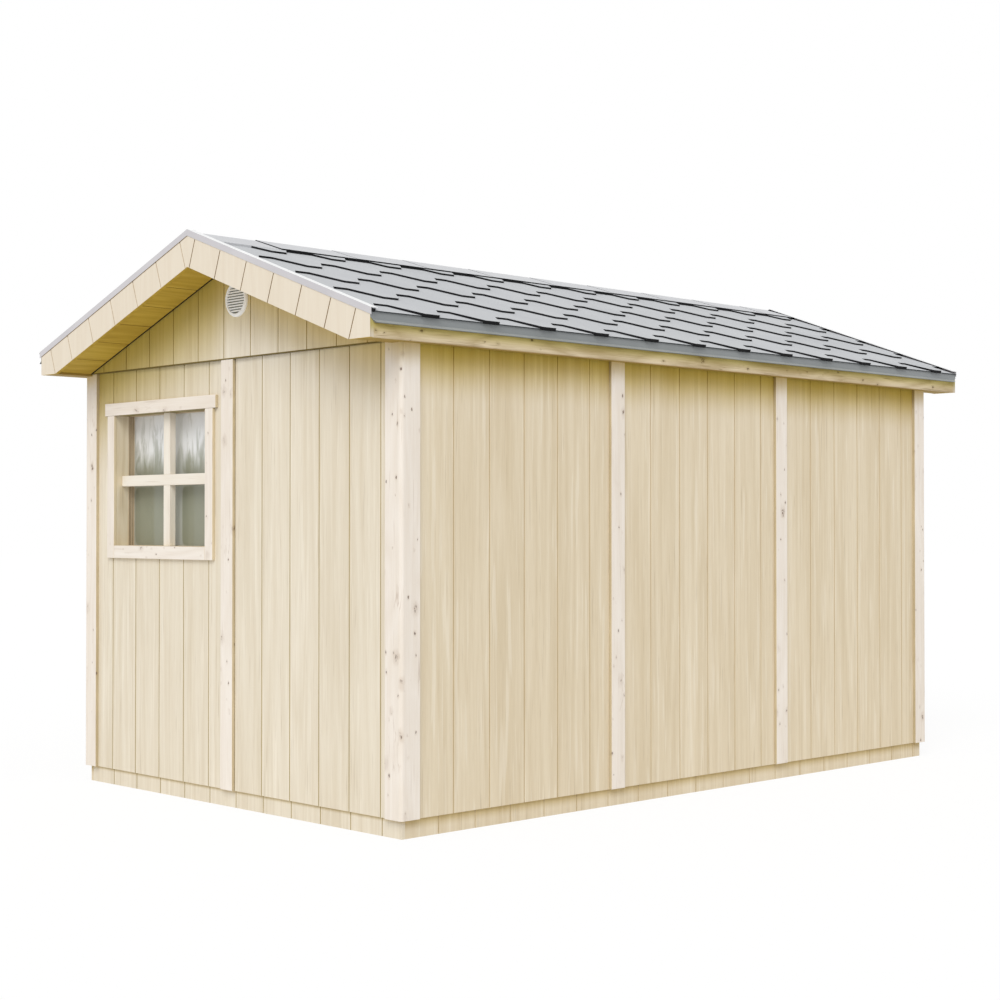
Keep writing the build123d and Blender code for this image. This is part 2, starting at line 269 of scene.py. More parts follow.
@dataclass(frozen=True)
class Slope:
    """One slope of the roof, measured on the underside of its roofing."""

    side: Side
    crest: float
    pitch: float
    length: float

    @classmethod
    def measured(cls, side: Side) -> "Slope":
        """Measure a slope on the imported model.

        Args:
            side: The side that the slope falls to.

        Returns:
            The measured slope.
        """
        points = corners(f"{side.word}_roofing")
        reach = max(abs(p.y) for p in points)
        crest = min(p.z for p in points if abs(p.y) < TINY)
        edge = min(p.z for p in points if abs(p.y) > reach - TINY)
        return cls(side, crest, math.atan2(crest - edge, reach), math.hypot(reach, crest - edge))

    @property
    def down(self) -> Vector:
        """Direction down the slope."""
        return Vector((0, self.side.value * math.cos(self.pitch), -math.sin(self.pitch)))

    @property
    def out(self) -> Vector:
        """Direction square to the slope, away from the room."""
        return Vector((0, self.side.value * math.sin(self.pitch), math.cos(self.pitch)))

    @property
    def origin(self) -> float:
        """Place of the crest along the direction down the slope."""
        return self.point(0, 0, 0).dot(self.down)

    def point(self, x: float, run: float, lift: float) -> Vector:
        """Give a point at a run down the slope from the ridge and a lift above its plane."""
        return Vector((x, 0, self.crest)) + self.down * run + self.out * lift


@dataclass(frozen=True)
class Plane:
    """A flat frame in space: u across it, v up it and out square to it."""

    u: Vector
    v: Vector
    out: Vector

    @classmethod
    def wall(cls, out: Vector) -> "Plane":
        """Give the plane of a wall that faces one way."""
        return cls(X_AXIS if abs(out.x) < TINY else Y_AXIS, Z_AXIS, out)

    def flat(self, point: Vector) -> Vector:
        """Give a point's places along u, v and out."""
        return Vector((point.dot(self.u), point.dot(self.v), point.dot(self.out)))

    def space(self, u: float, v: float, out: float) -> Vector:
        """Give the point in space at places along u, v and out."""
        return self.u * u + self.v * v + self.out * out

    def spans(self, points: Sequence[Vector]) -> tuple[Span, Span, Span]:
        """Give the stretches that points cover along u, v and out."""
        u, v, out = zip(*(self.flat(point) for point in points))
        return Span.over(u), Span.over(v), Span.over(out)


@dataclass(frozen=True)
class Groove:
    """Shape of a groove that is cut into a sheet."""

    width: float = 0.0052
    floor: float = 0.0026
    depth: float = 0.0030

    def notch(self, place: float, face: float) -> list[tuple[float, float]]:
        """Give the groove's outline across the sheet.

        Args:
            place: Middle of the groove.
            face: Place of the sheet's face, square to it.

        Returns:
            The corners of the groove, from one side to the other.
        """
        mouth = Span.about(place, self.width / 2)
        bed = Span.about(place, self.floor / 2)
        deep = face - self.depth
        return [(mouth.low, face), (bed.low, deep), (bed.high, deep), (mouth.high, face)]


@dataclass(frozen=True)
class Spacing:
    """Evenly spaced lines, known by one of them and their pitch."""

    first: float
    pitch: float

    def lines(self, span: Span) -> list[float]:
        """Give every line that falls within a stretch.

        Args:
            span: The stretch.

        Returns:
            The lines' places in order.
        """
        low = math.ceil((span.low - self.first) / self.pitch)
        high = math.floor((span.high - self.first) / self.pitch)
        return [self.first + self.pitch * step for step in range(low, high + 1)]


@dataclass(frozen=True)
class Noise:
    """Soft noise: its features to the metre, octaves, their roughness and its bend out of line."""

    scale: float
    detail: float
    rough: float = 0.5
    bent: float = 0.0


class Graph:
    """The node graph of a material or of the sky, under construction."""

    def __init__(self, owner: Union[bpy.types.Material, bpy.types.World]) -> None:
        """Start an empty graph.

        Args:
            owner: The material or sky that it belongs to.
        """
        owner.use_nodes = True
        self.tree = owner.node_tree
        self.tree.nodes.clear()

    @cached_property
    def place(self) -> Socket:
        """Object coordinates."""
        return self.add("ShaderNodeTexCoord").outputs["Object"]

    @cached_property
    def axes(self) -> bpy.types.bpy_prop_collection:
        """Object coordinates on each axis, by its letter."""
        return self.add("ShaderNodeSeparateXYZ", {"Vector": self.place}).outputs

    def add(
        self,
        kind: str,
        inputs: Optional[dict[Union[str, int], InputValue]] = None,
        **settings: object,
    ) -> bpy.types.Node:
        """Add one node.

        Args:
            kind: The node's type name.
            inputs: Values or sockets for its inputs, by name or place.
            **settings: The node's own settings.

        Returns:
            The new node.
        """
        node = self.tree.nodes.new(kind)
        for key, setting in settings.items():
            setattr(node, key, setting)
        for key, value in (inputs or {}).items():
            if isinstance(value, bpy.types.NodeSocket):
                self.tree.links.new(value, node.inputs[key])
            else:
                node.inputs[key].default_value = value
        return node

    def math(self, operation: str, *values: InputValue) -> Socket:
        """Give what an operation makes of numbers."""
        return self.add("ShaderNodeMath", dict(enumerate(values)), operation=operation).outputs[0]

    def vector_math(self, operation: str, *values: InputValue) -> Socket:
        """Give what an operation makes of vectors."""
        node = self.add("ShaderNodeVectorMath", dict(enumerate(values)), operation=operation)
        return node.outputs[0]

    def scaled(self, scale: Sequence[float], turn: Sequence[float] = (0, 0, 0)) -> Socket:
        """Give object coordinates drawn out by a scale on each axis and then turned."""
        wanted = {"Vector": self.place, "Scale": scale, "Rotation": turn}
        return self.add("ShaderNodeMapping", wanted).outputs["Vector"]

    def noise(self, vector: Socket, layer: Noise, output: str = "Fac") -> Socket:
        """Lay noise over coordinates.

        Args:
            vector: The coordinates.
            layer: The kind of noise.
            output: Whether one value, Fac, or three, Color, are given at each place.

        Returns:
            The noise, between 0 and 1.
        """
        wanted = {
            "Vector": vector,
            "Scale": layer.scale,
            "Detail": layer.detail,
            "Roughness": layer.rough,
            "Distortion": layer.bent,
        }
        return self.add("ShaderNodeTexNoise", wanted).outputs[output]

    def sums(self, *weighted: tuple[Socket, float]) -> Socket:
        """Add up several patterns.

        Args:
            *weighted: Each pattern with its weight.

        Returns:
            The weighted sum.
        """
        pattern, weight = weighted[0]
        total = self.math("MULTIPLY_ADD", pattern, weight, 0.0)
        for pattern, weight in weighted[1:]:
            total = self.math("MULTIPLY_ADD", pattern, weight, total)
        return total

    def ranged(self, value: Socket, span: Span, first: float, last: float) -> Socket:
        """Map a value smoothly from one range to another, held at both ends.

        Args:
            value: The value.
            span: The range that it comes from.
            first: What the low end becomes.
            last: What the high end becomes.

        Returns:
            The mapped value.
        """
        wanted = {
            "Value": value,
            "From Min": span.low,
            "From Max": span.high,
            "To Min": first,
            "To Max": last,
        }
        node = self.add("ShaderNodeMapRange", wanted, interpolation_type="SMOOTHSTEP")
        return node.outputs[0]

    def mixed(
        self, share: InputValue, first: InputValue, second: InputValue, how: str = "MIX"
    ) -> Socket:
        """Mix two colours.

        Args:
            share: The share of the second colour.
            first: The first colour.
            second: The second colour.
            how: How the second is laid over the first.

        Returns:
            The mixed colour.
        """
        wanted = {MIX_SHARE: share, MIX_FIRST: first, MIX_SECOND: second}
        node = self.add("ShaderNodeMix", wanted, data_type="RGBA", blend_type=how)
        return node.outputs[MIX_RESULT]

    def bump(self, height: Socket, strength: float, depth: float) -> Socket:
        """Give the surface direction that follows a height pattern."""
        wanted = {"Height": height, "Strength": strength, "Distance": depth}
        return self.add("ShaderNodeBump", wanted).outputs["Normal"]

    def surface(self, inputs: dict[Union[str, int], InputValue]) -> Socket:
        """Give the shader of a surface from its inputs by name."""
        return self.add("ShaderNodeBsdfPrincipled", inputs).outputs["BSDF"]

    def layered(self, share: InputValue, first: Socket, second: Socket) -> Socket:
        """Mix two shaders by a share of the second."""
        return self.add("ShaderNodeMixShader", {0: share, 1: first, 2: second}).outputs["Shader"]

    def finish(self, shader: Socket, output: str = "ShaderNodeOutputMaterial") -> None:
        """Lead the shader to the graph's output."""
        self.add(output, {"Surface": shader})


class Finish:
    """A surface finish, whose material is made once and then shared."""

    made: dict[str, bpy.types.Material] = {}
    name: str

    def material(self) -> bpy.types.Material:
        """Give the finish's material, and make it the first time.

        Returns:
            The material.
        """
        if self.name not in Finish.made:
            Finish.made[self.name] = bpy.data.materials.new(self.name)
            graph = Graph(Finish.made[self.name])
            graph.finish(self.shader(graph))
        return Finish.made[self.name]

    def shader(self, graph: Graph) -> Socket:
        """Build the finish's nodes in a graph and give its shader."""
        raise NotImplementedError


@dataclass(frozen=True)
class Figure:
    """The patterns of a wood's tone, with how far they are drawn out along the grain."""

    fibre_drawn: float = 0.034
    board_drawn: float = 0.16
    fine: Noise = Noise(330.0, 3.0, 0.6, 0.2)
    strand: Noise = Noise(56.0, 4.0, 0.6, 0.35)
    cloud: Noise = Noise(5.0, 2.0, 0.5, 0.5)
    swirl: Noise = Noise(8.0, 1.0, 0.5, 0.4)
    rings: float = 11.0
    shares: tuple[float, ...] = (0.22, 0.34, 0.32, 0.12)
    mark: Noise = Noise(120.0, 2.0, 0.4)
    mark_range: Span = Span(0.64, 0.76)
    line: Noise = Noise(70.0, 1.0, 0.4, 0.4)
    line_range: Span = Span(0.60, 0.70)
    height_share: float = 0.5
    height: float = 0.0008


@dataclass(frozen=True)
class Cracks:
    """Fine drying cracks along the grain, in patches."""

    strength: float
    drawn: float = 0.12
    path: Noise = Noise(48.0, 2.0)
    wander: Noise = Noise(9.0, 0.0)
    wander_share: float = 0.2
    level: float = 0.6
    line_range: Span = Span(0.004, 0.030)
    patch_drawn: float = 0.5
    patch: Noise = Noise(6.0, 2.0)
    patch_range: Span = Span(0.60, 0.72)


@dataclass(frozen=True)
class Knots:
    """Dark knots and specks in planed wood, strewn over a share of its places."""

    colour: Colour
    spacing: float
    radius: float
    strength: float
    share: float = 0.6
    broken: float = 0.0
    drawn: float = 0.62
    turn: Triple = (0.61, 0.37, 0.83)
    detail: float = 2.0
    ragged: float = 0.6
    push: float = 2.4
    choice: float = 0.02
    sizes: Span = Span(0.7, 1.3)
    halo: Span = Span(0.8, 2.4)
    halo_share: float = 0.25
    core: Span = Span(0.6, 1.0)
    fleck: float = 1.6
    fleck_range: Span = Span(0.44, 0.56)


@dataclass(frozen=True)
class Shelter:
    """Painted shade: a golden-olive darkening painted into timber close under the roof or a foot,
    fading away below it.
    """

    crest: float
    fall: float
    fade: Span
    tint: Colour
    sunny: float = 0.0
    sunny_tint: Optional[Colour] = None
    turn: Span = Span(-0.15, 0.15)
    sway: float = 0.06
    drift: Noise = Noise(4.0, 1.0)
    drift_drawn: float = 0.3

    @classmethod
    def under_roof(
        cls, fade: Span, tint: Colour, sunny: float = 0.0, sunny_tint: Optional[Colour] = None
    ) -> "Shelter":
        """Give the painted shade that fades away below the slopes of the roof.

        Args:
            fade: How far below the slope it starts to fade and is gone.
            tint: What the wood's colour is multiplied by.
            sunny: How much sooner it fades on the sunny near half.
            sunny_tint: The tint on the near half, where it is another.

        Returns:
            The shelter.
        """
        roof = Slope.measured(Side.NEAR)
        return cls(roof.crest, math.tan(roof.pitch), fade, tint, sunny, sunny_tint)

    @classmethod
    def under_foot(cls, node: str, faded: float, tint: Colour) -> "Shelter":
        """Give the painted shade that fades away below the foot of a node."""
        return cls(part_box(node)[0].z, 0.0, Span(0.0, faded), tint, sway=0.0)


@dataclass(frozen=True)
class Wood(Finish):
    """Softwood with grain, faint figure, streaks and, where it has them, cracks, knots and painted
    shade.
    """

    name: str
    pale: Colour
    deep: Colour
    grain: Grain
    knots: tuple[Knots, ...] = ()
    shelter: Optional[Shelter] = None
    cracks: Optional[Cracks] = None
    streak: Colour = srgb(150, 124, 84)
    streak_strength: float = 0.22
    glint: Colour = srgb(250, 243, 228)
    glint_strength: float = 0.0
    contrast: float = 0.22
    figure: Figure = Figure()
    roughness: Span = Span(0.6, 0.78)
    specular: float = 0.25
    relief: float = 0.25

    def shader(self, graph: Graph) -> Socket:
        """Build the wood's nodes.

        Args:
            graph: The graph under construction.

        Returns:
            The wood's shader.
        """
        figure = self.figure
        fibre = graph.scaled(self.grain.stretch(figure.fibre_drawn))
        board = graph.scaled(self.grain.stretch(figure.board_drawn))
        fine = graph.noise(fibre, figure.fine)
        strand = graph.noise(fibre, figure.strand)
        cloud = graph.noise(board, figure.cloud)
        swirl = graph.noise(board, figure.swirl)
        rings = graph.math("PINGPONG", graph.sums((swirl, figure.rings)), 1.0)
        tone = graph.sums(*zip((fine, strand, cloud, rings), figure.shares))
        share = graph.ranged(tone, Span.about(MIDDLE_TONE, self.contrast), 0.0, 1.0)
        colour = graph.mixed(share, self.deep, self.pale)
        for layer, span, strength, shade in (
            (figure.mark, figure.mark_range, self.streak_strength, self.streak),
            (figure.line, figure.line_range, self.glint_strength, self.glint),
        ):
            marks = graph.ranged(graph.noise(fibre, layer), span, 0.0, strength)
            colour = graph.mixed(marks, colour, shade)
        if self.cracks is not None:
            colour = self.cracked(graph, colour, self.cracks)
        for knots in self.knots:
            colour = self.knotted(graph, colour, knots)
        # Painted shade close under the roof or a foot.
        if self.shelter is not None:
            colour = self.with_painted_shade(graph, colour, self.shelter)
        height = graph.sums((fine, figure.height_share), (strand, figure.height_share))
        return graph.surface(
            {
                "Base Color": colour,
                "Roughness": graph.ranged(
                    tone, TONE_RANGE, self.roughness.high, self.roughness.low
                ),
                "Specular IOR Level": self.specular,
                "Normal": graph.bump(height, self.relief, figure.height),
            }
        )

    def with_painted_shade(self, graph: Graph, colour: Socket, shelter: Shelter) -> Socket:
        """Paint shade into the wood's colour by how close it lies under the roof or a foot above it.

        Args:
            graph: The graph under construction.
            colour: Colour of the wood without painted shade.
            shelter: Where the painted shade starts and how it fades below it.

        Returns:
            The colour with its painted shade.
        """
        across = graph.axes["Y"]
        away = graph.math("ABSOLUTE", across)
        drift = graph.noise(graph.scaled(Grain.ALONG_Z.stretch(shelter.drift_drawn)), shelter.drift)
        below = graph.sums((away, -shelter.fall), (graph.axes["Z"], -1.0), (drift, shelter.sway))
        depth = graph.math("SUBTRACT", below, shelter.sway / 2 - shelter.crest)
        tint: InputValue = shelter.tint
        if shelter.sunny_tint is not None:
            half = graph.ranged(across, shelter.turn, 1.0, 0.0)
            tint = graph.mixed(half, shelter.tint, shelter.sunny_tint)
            hurry = graph.ranged(across, shelter.turn, 1.0 + shelter.sunny, 1.0)
            depth = graph.math("MULTIPLY", depth, hurry)
        share = graph.ranged(depth, shelter.fade, 1.0, 0.0)
        return graph.mixed(share, colour, graph.mixed(1.0, colour, tint, "MULTIPLY"))

    def cracked(self, graph: Graph, colour: Socket, cracks: Cracks) -> Socket:
        """Draw drying cracks along the grain.

        Args:
            graph: The graph under construction.
            colour: Colour of the sound wood.
            cracks: How the cracks run and how strong they are.

        Returns:
            The colour with its cracks.
        """
        drawn = graph.scaled(self.grain.stretch(cracks.drawn))
        path = graph.noise(drawn, cracks.path)
        wander = graph.noise(drawn, cracks.wander)
        away = graph.sums((path, 1.0), (wander, cracks.wander_share))
        off = graph.math("ABSOLUTE", graph.math("SUBTRACT", away, cracks.level))
        line = graph.ranged(off, cracks.line_range, 1.0, 0.0)
        area = graph.noise(graph.scaled(self.grain.stretch(cracks.patch_drawn)), cracks.patch)
        patch = graph.ranged(area, cracks.patch_range, 0.0, cracks.strength)
        return graph.mixed(graph.math("MULTIPLY", line, patch), colour, self.streak)

    def knotted(self, graph: Graph, colour: Socket, knots: Knots) -> Socket:
        """Lay dark knots with a warm halo over the wood's colour.

        Args:
            graph: The graph under construction.
            colour: Colour of the clear wood.
            knots: Size, spacing and colour of the knots.

        Returns:
            The colour with its knots.
        """
        drawn = graph.scaled(self.grain.stretch(knots.drawn), knots.turn)
        ragged = graph.noise(drawn, Noise(knots.ragged / knots.radius, knots.detail), "Color")
        centred = graph.vector_math("SUBTRACT", ragged, [MIDDLE_TONE] * 3)
        pushed = graph.vector_math("MULTIPLY_ADD", centred, [knots.push * knots.radius] * 3, drawn)
        wanted = {"Vector": pushed, "Scale": 1 / knots.spacing}
        cells = graph.add("ShaderNodeTexVoronoi", wanted).outputs
        luck = graph.add("ShaderNodeSeparateColor", {"Color": cells["Color"]}).outputs
        chosen = Span.about(1.0 - knots.share, knots.choice)
        there = graph.ranged(luck["Red"], chosen, 0.0, 1.0)
        size = graph.ranged(luck["Green"], UNIT, knots.sizes.low, knots.sizes.high)
        away = graph.math("DIVIDE", cells["Distance"], size)
        reach = knots.radius / knots.spacing
        halo_strength = knots.strength * knots.halo_share
        halo = graph.ranged(away, knots.halo.times(reach), halo_strength, 0.0)
        core = graph.ranged(away, knots.core.times(reach), knots.strength, 0.0)
        fleck = graph.noise(drawn, Noise(knots.fleck / knots.radius, knots.detail))
        flecks = graph.ranged(fleck, knots.fleck_range, 1.0 - knots.broken, 1.0)
        core = graph.math("MULTIPLY", core, flecks)
        for spread, shade in ((halo, self.streak), (core, knots.colour)):
            colour = graph.mixed(graph.math("MULTIPLY", spread, there), colour, shade)
        return colour


@dataclass(frozen=True)
class Felt(Finish):
    """Mineral-coated roofing felt: fine granules with a slow change of tone."""

    name: str
    pale: Colour
    deep: Colour
    granule: Noise = Noise(900.0, 2.0, 0.7)
    drift: Noise = Noise(3.1, 3.0)
    shares: tuple[float, float] = (0.55, 0.45)
    roughness: float = 0.86
    specular: float = 0.3
    relief: float = 0.35
    height: float = 0.0008

    def shader(self, graph: Graph) -> Socket:
        """Build the felt's nodes.

        Args:
            graph: The graph under construction.

        Returns:
            The felt's shader.
        """
        grit = graph.noise(graph.place, self.granule)
        drift = graph.noise(graph.place, self.drift)
        tone = graph.sums((grit, self.shares[0]), (drift, self.shares[1]))
        share = graph.ranged(tone, TONE_RANGE, 0.0, 1.0)
        return graph.surface(
            {
                "Base Color": graph.mixed(share, self.deep, self.pale),
                "Roughness": self.roughness,
                "Specular IOR Level": self.specular,
                "Normal": graph.bump(grit, self.relief, self.height),
            }
        )


@dataclass(frozen=True)
class Coated(Finish):
    """Coated sheet metal or moulded plastic: an even skin with a faint unevenness."""

    name: str
    pale: Colour
    deep: Colour
    roughness: Span
    skin: Noise = Noise(240.0, 3.0, 0.55)
    cloud: Noise = Noise(4.3, 2.0)
    shares: tuple[float, float] = (0.4, 0.6)
    specular: float = 0.5
    relief: float = 0.05
    height: float = 0.0004

    def shader(self, graph: Graph) -> Socket:
        """Build the coating's nodes.

        Args:
            graph: The graph under construction.

        Returns:
            The coating's shader.
        """
        skin = graph.noise(graph.place, self.skin)
        cloud = graph.noise(graph.place, self.cloud)
        tone = graph.sums((skin, self.shares[0]), (cloud, self.shares[1]))
        share = graph.ranged(tone, TONE_RANGE, 0.0, 1.0)
        shine = graph.ranged(tone, TONE_RANGE, self.roughness.low, self.roughness.high)
        return graph.surface(
            {
                "Base Color": graph.mixed(share, self.deep, self.pale),
                "Roughness": shine,
                "Specular IOR Level": self.specular,
                "Normal": graph.bump(skin, self.relief, self.height),
            }
        )


@dataclass(frozen=True)
class Pane(Finish):
    """Window glass whose colour is a painted reflection: green-grey, paler at the head, with pale
    painted reflections round each light.
    """

    name: str
    pale: Colour
    deep: Colour
    rim: Colour
    width: Span
    height: Span
    bars: tuple[float, float]
    half_bar: float
    reflection_foot: float = 0.33
    reflection_head: float = 0.03
    stems: Noise = Noise(27.0, 4.0, 0.62, 0.5)
    stems_drawn: float = 0.22
    stems_range: Span = Span(0.34, 0.68)
    crowns: Noise = Noise(13.0, 3.0)
    crowns_drawn: float = 0.45
    shares: tuple[float, float, float] = (0.50, 0.86, 0.16)
    tone_range: Span = Span(0.05, 0.86)
    rim_range: Span = Span(0.5, 1.15)
    rim_strength: float = 0.42
    rim_hardness: float = 11.0
    clear_share: float = 0.15
    roughness: float = 0.08
    specular: float = 0.5

    def shader(self, graph: Graph) -> Socket:
        """Build the glass's nodes.

        Args:
            graph: The graph under construction.

        Returns:
            The glass's shader.
        """
        # Painted reflection of trees, streaked and fading out below the head.
        stems = graph.noise(graph.scaled(Grain.ALONG_Z.stretch(self.stems_drawn)), self.stems)
        stems = graph.ranged(stems, self.stems_range, 0.0, 1.0)
        crowns = graph.noise(graph.scaled(Grain.ALONG_Z.stretch(self.crowns_drawn)), self.crowns)
        reflection_band = Span(self.height.high - self.reflection_foot, self.height.high - self.reflection_head)
        rise = graph.ranged(graph.axes["Z"], reflection_band, 0.0, 1.0)
        reflected_streaks = graph.math("MULTIPLY", rise, stems)
        tone = graph.sums(*zip((rise, reflected_streaks, crowns), self.shares))
        colour = graph.mixed(graph.ranged(tone, self.tone_range, 0.0, 1.0), self.deep, self.pale)
        # A pale painted reflection round the edges of each light.
        across = self.edge(graph, graph.axes["Y"], self.width, self.bars[0])
        up = self.edge(graph, graph.axes["Z"], self.height, self.bars[1])
        near = graph.sums((across, 1.0), (up, 1.0))
        near = graph.ranged(near, self.rim_range, 0.0, self.rim_strength)
        skin = graph.surface(
            {
                "Base Color": graph.mixed(near, colour, self.rim),
                "Roughness": self.roughness,
                "Specular IOR Level": self.specular,
            }
        )
        clear = graph.add("ShaderNodeBsdfTransparent").outputs["BSDF"]
        return graph.layered(self.clear_share, skin, clear)

    def edge(self, graph: Graph, place: Socket, span: Span, bar: float) -> Socket:
        """Give how near a place is to the edges of its light, rising steeply to 1 at the edge.

        Args:
            graph: The graph under construction.
            place: The place along one direction of the pane.
            span: The pane's stretch in that direction.
            bar: Middle of the bar that parts the lights.

        Returns:
            The nearness pattern.
        """
        half = (span.length / 2 - self.half_bar) / 2
        side = graph.math("ABSOLUTE", graph.math("SUBTRACT", place, bar))
        centred = graph.math("SUBTRACT", side, self.half_bar + half)
        share = graph.sums((graph.math("ABSOLUTE", centred), 1 / half))
        return graph.math("POWER", share, self.rim_hardness)


# Painted shade: golden-olive tints painted into the wood under the roof slopes, under the eave
# flashing and below the sheets' foot.
SIDE_SHADE = Shelter.under_roof(Span(0.12, 0.36), (0.68, 0.56, 0.11, 1.0))
GABLE_SHADE = Shelter.under_roof(
    Span(0.12, 0.68), (0.62, 0.52, 0.13, 1.0), 0.5, (0.82, 0.69, 0.26, 1.0)
)
TRIM_SHADE = Shelter.under_roof(Span(0.10, 0.24), (0.76, 0.65, 0.32, 1.0))
FASCIA_SHADE = Shelter.under_foot("near_eave_flashing", 0.052, (0.76, 0.74, 0.32, 1.0))
FOOT_SHADE = Shelter.under_foot("near_side_panel_1", 0.05, (0.76, 0.68, 0.44, 1.0))
GABLE_FOOT_SHADE = Shelter.under_foot("near_side_panel_1", 0.02, (0.80, 0.72, 0.50, 1.0))
TRIM_KNOTS = (
    Knots(srgb(98, 78, 64), 0.030, 0.0040, 0.85, share=0.3),
    Knots(srgb(104, 82, 64), 0.090, 0.0095, 0.85, broken=0.85),
)
CASING_KNOTS = (
    Knots(srgb(120, 98, 80), 0.034, 0.0036, 0.75, share=0.35),
    Knots(srgb(120, 98, 80), 0.090, 0.0080, 0.6, broken=0.85),
)
FASCIA_KNOTS = (
    Knots(srgb(92, 72, 40), 0.045, 0.0052, 0.85, share=0.8),
    Knots(srgb(110, 86, 48), 0.095, 0.0140, 0.75, broken=0.8),
)
FRAMING_KNOTS = (Knots(srgb(104, 72, 42), 0.12, 0.011, 0.75),)
METAL_SHINE = Span(0.36, 0.5)
VERGE_SHINE = Span(0.3, 0.42)


@dataclass(frozen=True)
class Palette:
    """Every finish on the shed but its glass."""

    side_sheet: Wood = Wood(
        "side_sheet",
        srgb(232, 219, 194),
        srgb(212, 195, 164),
        Grain.ALONG_Z,
        shelter=SIDE_SHADE,
        glint_strength=0.22,
        contrast=0.26,
        figure=Figure(board_drawn=0.04),
    )
    gable_sheet: Wood = replace(
        side_sheet,
        name="gable_sheet",
        pale=srgb(235, 226, 208),
        deep=srgb(216, 203, 179),
        shelter=GABLE_SHADE,
    )
    side_foot: Wood = replace(side_sheet, name="side_foot", shelter=FOOT_SHADE)
    gable_foot: Wood = replace(gable_sheet, name="gable_foot", shelter=GABLE_FOOT_SHADE)
    # Groove finishes darker than their boards: painted shade in the grooves, over the real grooves'
    # own shading.
    side_groove_shade: Wood = Wood(
        "side_groove_shade",
        srgb(212, 194, 158),
        srgb(194, 174, 135),
        Grain.ALONG_Z,
        shelter=SIDE_SHADE,
    )
    gable_groove_shade: Wood = Wood(
        "gable_groove_shade",
        srgb(190, 172, 124),
        srgb(166, 148, 96),
        Grain.ALONG_Z,
        shelter=GABLE_SHADE,
    )
    # Near-black line along the foot of the upper gable sheets: painted shadow.
    painted_foot_shadow: Wood = Wood("painted_foot_shadow", srgb(130, 112, 52), srgb(104, 86, 36), Grain.ALONG_Y)
    verge_board: Wood = Wood(
        "verge_board",
        srgb(234, 224, 206),
        srgb(222, 208, 187),
        Grain.ALONG_Z,
        streak_strength=0.04,
        contrast=0.42,
    )
    # The barge boards' end faces: darker than their fronts and golden at the top, painted shade.
    verge_end_shade: Wood = Wood(
        "verge_end_shade",
        srgb(214, 201, 180),
        srgb(198, 183, 160),
        Grain.ALONG_Z,
        shelter=FASCIA_SHADE,
    )
    # Barge board groove finishes: painted shade in the grooves.
    verge_groove_shade: Wood = Wood(
        "verge_groove_shade", srgb(158, 132, 92), srgb(128, 102, 66), Grain.ALONG_Z
    )
    faint_groove_shade: Wood = Wood(
        "verge_groove_faint", srgb(206, 190, 164), srgb(190, 172, 144), Grain.ALONG_Z
    )
    # Soffit and eave strip finishes, deep golden: partly the boards' own colour, partly painted
    # shade under the overhang.
    soffit: Wood = Wood("soffit_board", srgb(206, 176, 72), srgb(174, 142, 46), Grain.ALONG_X)
    # Darker soffit groove finish: painted shade in the grooves.
    soffit_groove: Wood = Wood(
        "soffit_groove", srgb(150, 120, 44), srgb(122, 94, 32), Grain.ALONG_X
    )
    eave_strip: Wood = Wood("eave_strip", srgb(180, 152, 80), srgb(154, 126, 58), Grain.ALONG_X)
    # Near-black strips and dots in narrow gaps: painted shadow.
    seam: Wood = Wood("painted_gap_shadow", srgb(60, 42, 14), srgb(40, 27, 7), Grain.ALONG_X)
    trim: Wood = Wood(
        "planed_trim",
        srgb(242, 234, 224),
        srgb(230, 219, 205),
        Grain.ALONG_Z,
        TRIM_KNOTS,
        TRIM_SHADE,
        Cracks(0.4),
        srgb(160, 132, 106),
    )
    level_trim: Wood = replace(
        trim,
        name="planed_trim_level",
        grain=Grain.ALONG_Y,
        knots=CASING_KNOTS,
        shelter=None,
        cracks=Cracks(0.12),
    )
    # The trims' side faces: painted shade, darker and warmer than their fronts.
    trim_side_shade: Wood = Wood(
        "trim_side_shade",
        srgb(208, 193, 161),
        srgb(184, 168, 134),
        Grain.ALONG_Z,
        TRIM_KNOTS,
        TRIM_SHADE,
    )
    # The casing's side and lower faces: painted shade.
    casing_side_shade: Wood = Wood(
        "casing_side_shade", srgb(230, 216, 186), srgb(212, 196, 162), Grain.ALONG_Z
    )
    fascia: Wood = Wood(
        "eave_board",
        srgb(222, 205, 173),
        srgb(178, 157, 118),
        Grain.ALONG_X,
        FASCIA_KNOTS,
        FASCIA_SHADE,
        Cracks(0.7),
        srgb(126, 98, 54),
        streak_strength=0.5,
        contrast=0.16,
    )
    window_timber: Wood = Wood(
        "window_timber", srgb(234, 223, 200), srgb(212, 196, 164), Grain.ALONG_Z
    )
    window_bar: Wood = Wood("window_bar", srgb(242, 236, 224), srgb(232, 222, 206), Grain.ALONG_Y)
    upright_bar: Wood = replace(window_bar, name="window_upright_bar", grain=Grain.ALONG_Z)
    sash: Wood = Wood("window_sash", srgb(212, 194, 166), srgb(184, 164, 134), Grain.ALONG_Z)
    # Darker finish of the grooves in the sash: painted shade.
    sash_groove: Wood = Wood("sash_groove", srgb(150, 128, 96), srgb(122, 100, 70), Grain.ALONG_Z)
    # Down-facing faces at the window head: painted shade.
    reveal_head_shade: Wood = Wood("reveal_head_shade", srgb(160, 144, 96), srgb(132, 116, 70), Grain.ALONG_Y)
    framing: Wood = Wood(
        "sawn_framing",
        srgb(222, 196, 150),
        srgb(188, 156, 108),
        Grain.ALONG_Z,
        FRAMING_KNOTS,
    )
    rafter: Wood = replace(framing, name="sawn_rafter", grain=Grain.ALONG_Y)
    decking: Wood = Wood("board_deck", srgb(214, 188, 142), srgb(182, 150, 104), Grain.ALONG_X)
    shingle: Felt = Felt("shingle_face", srgb(197, 199, 201), srgb(184, 186, 189))
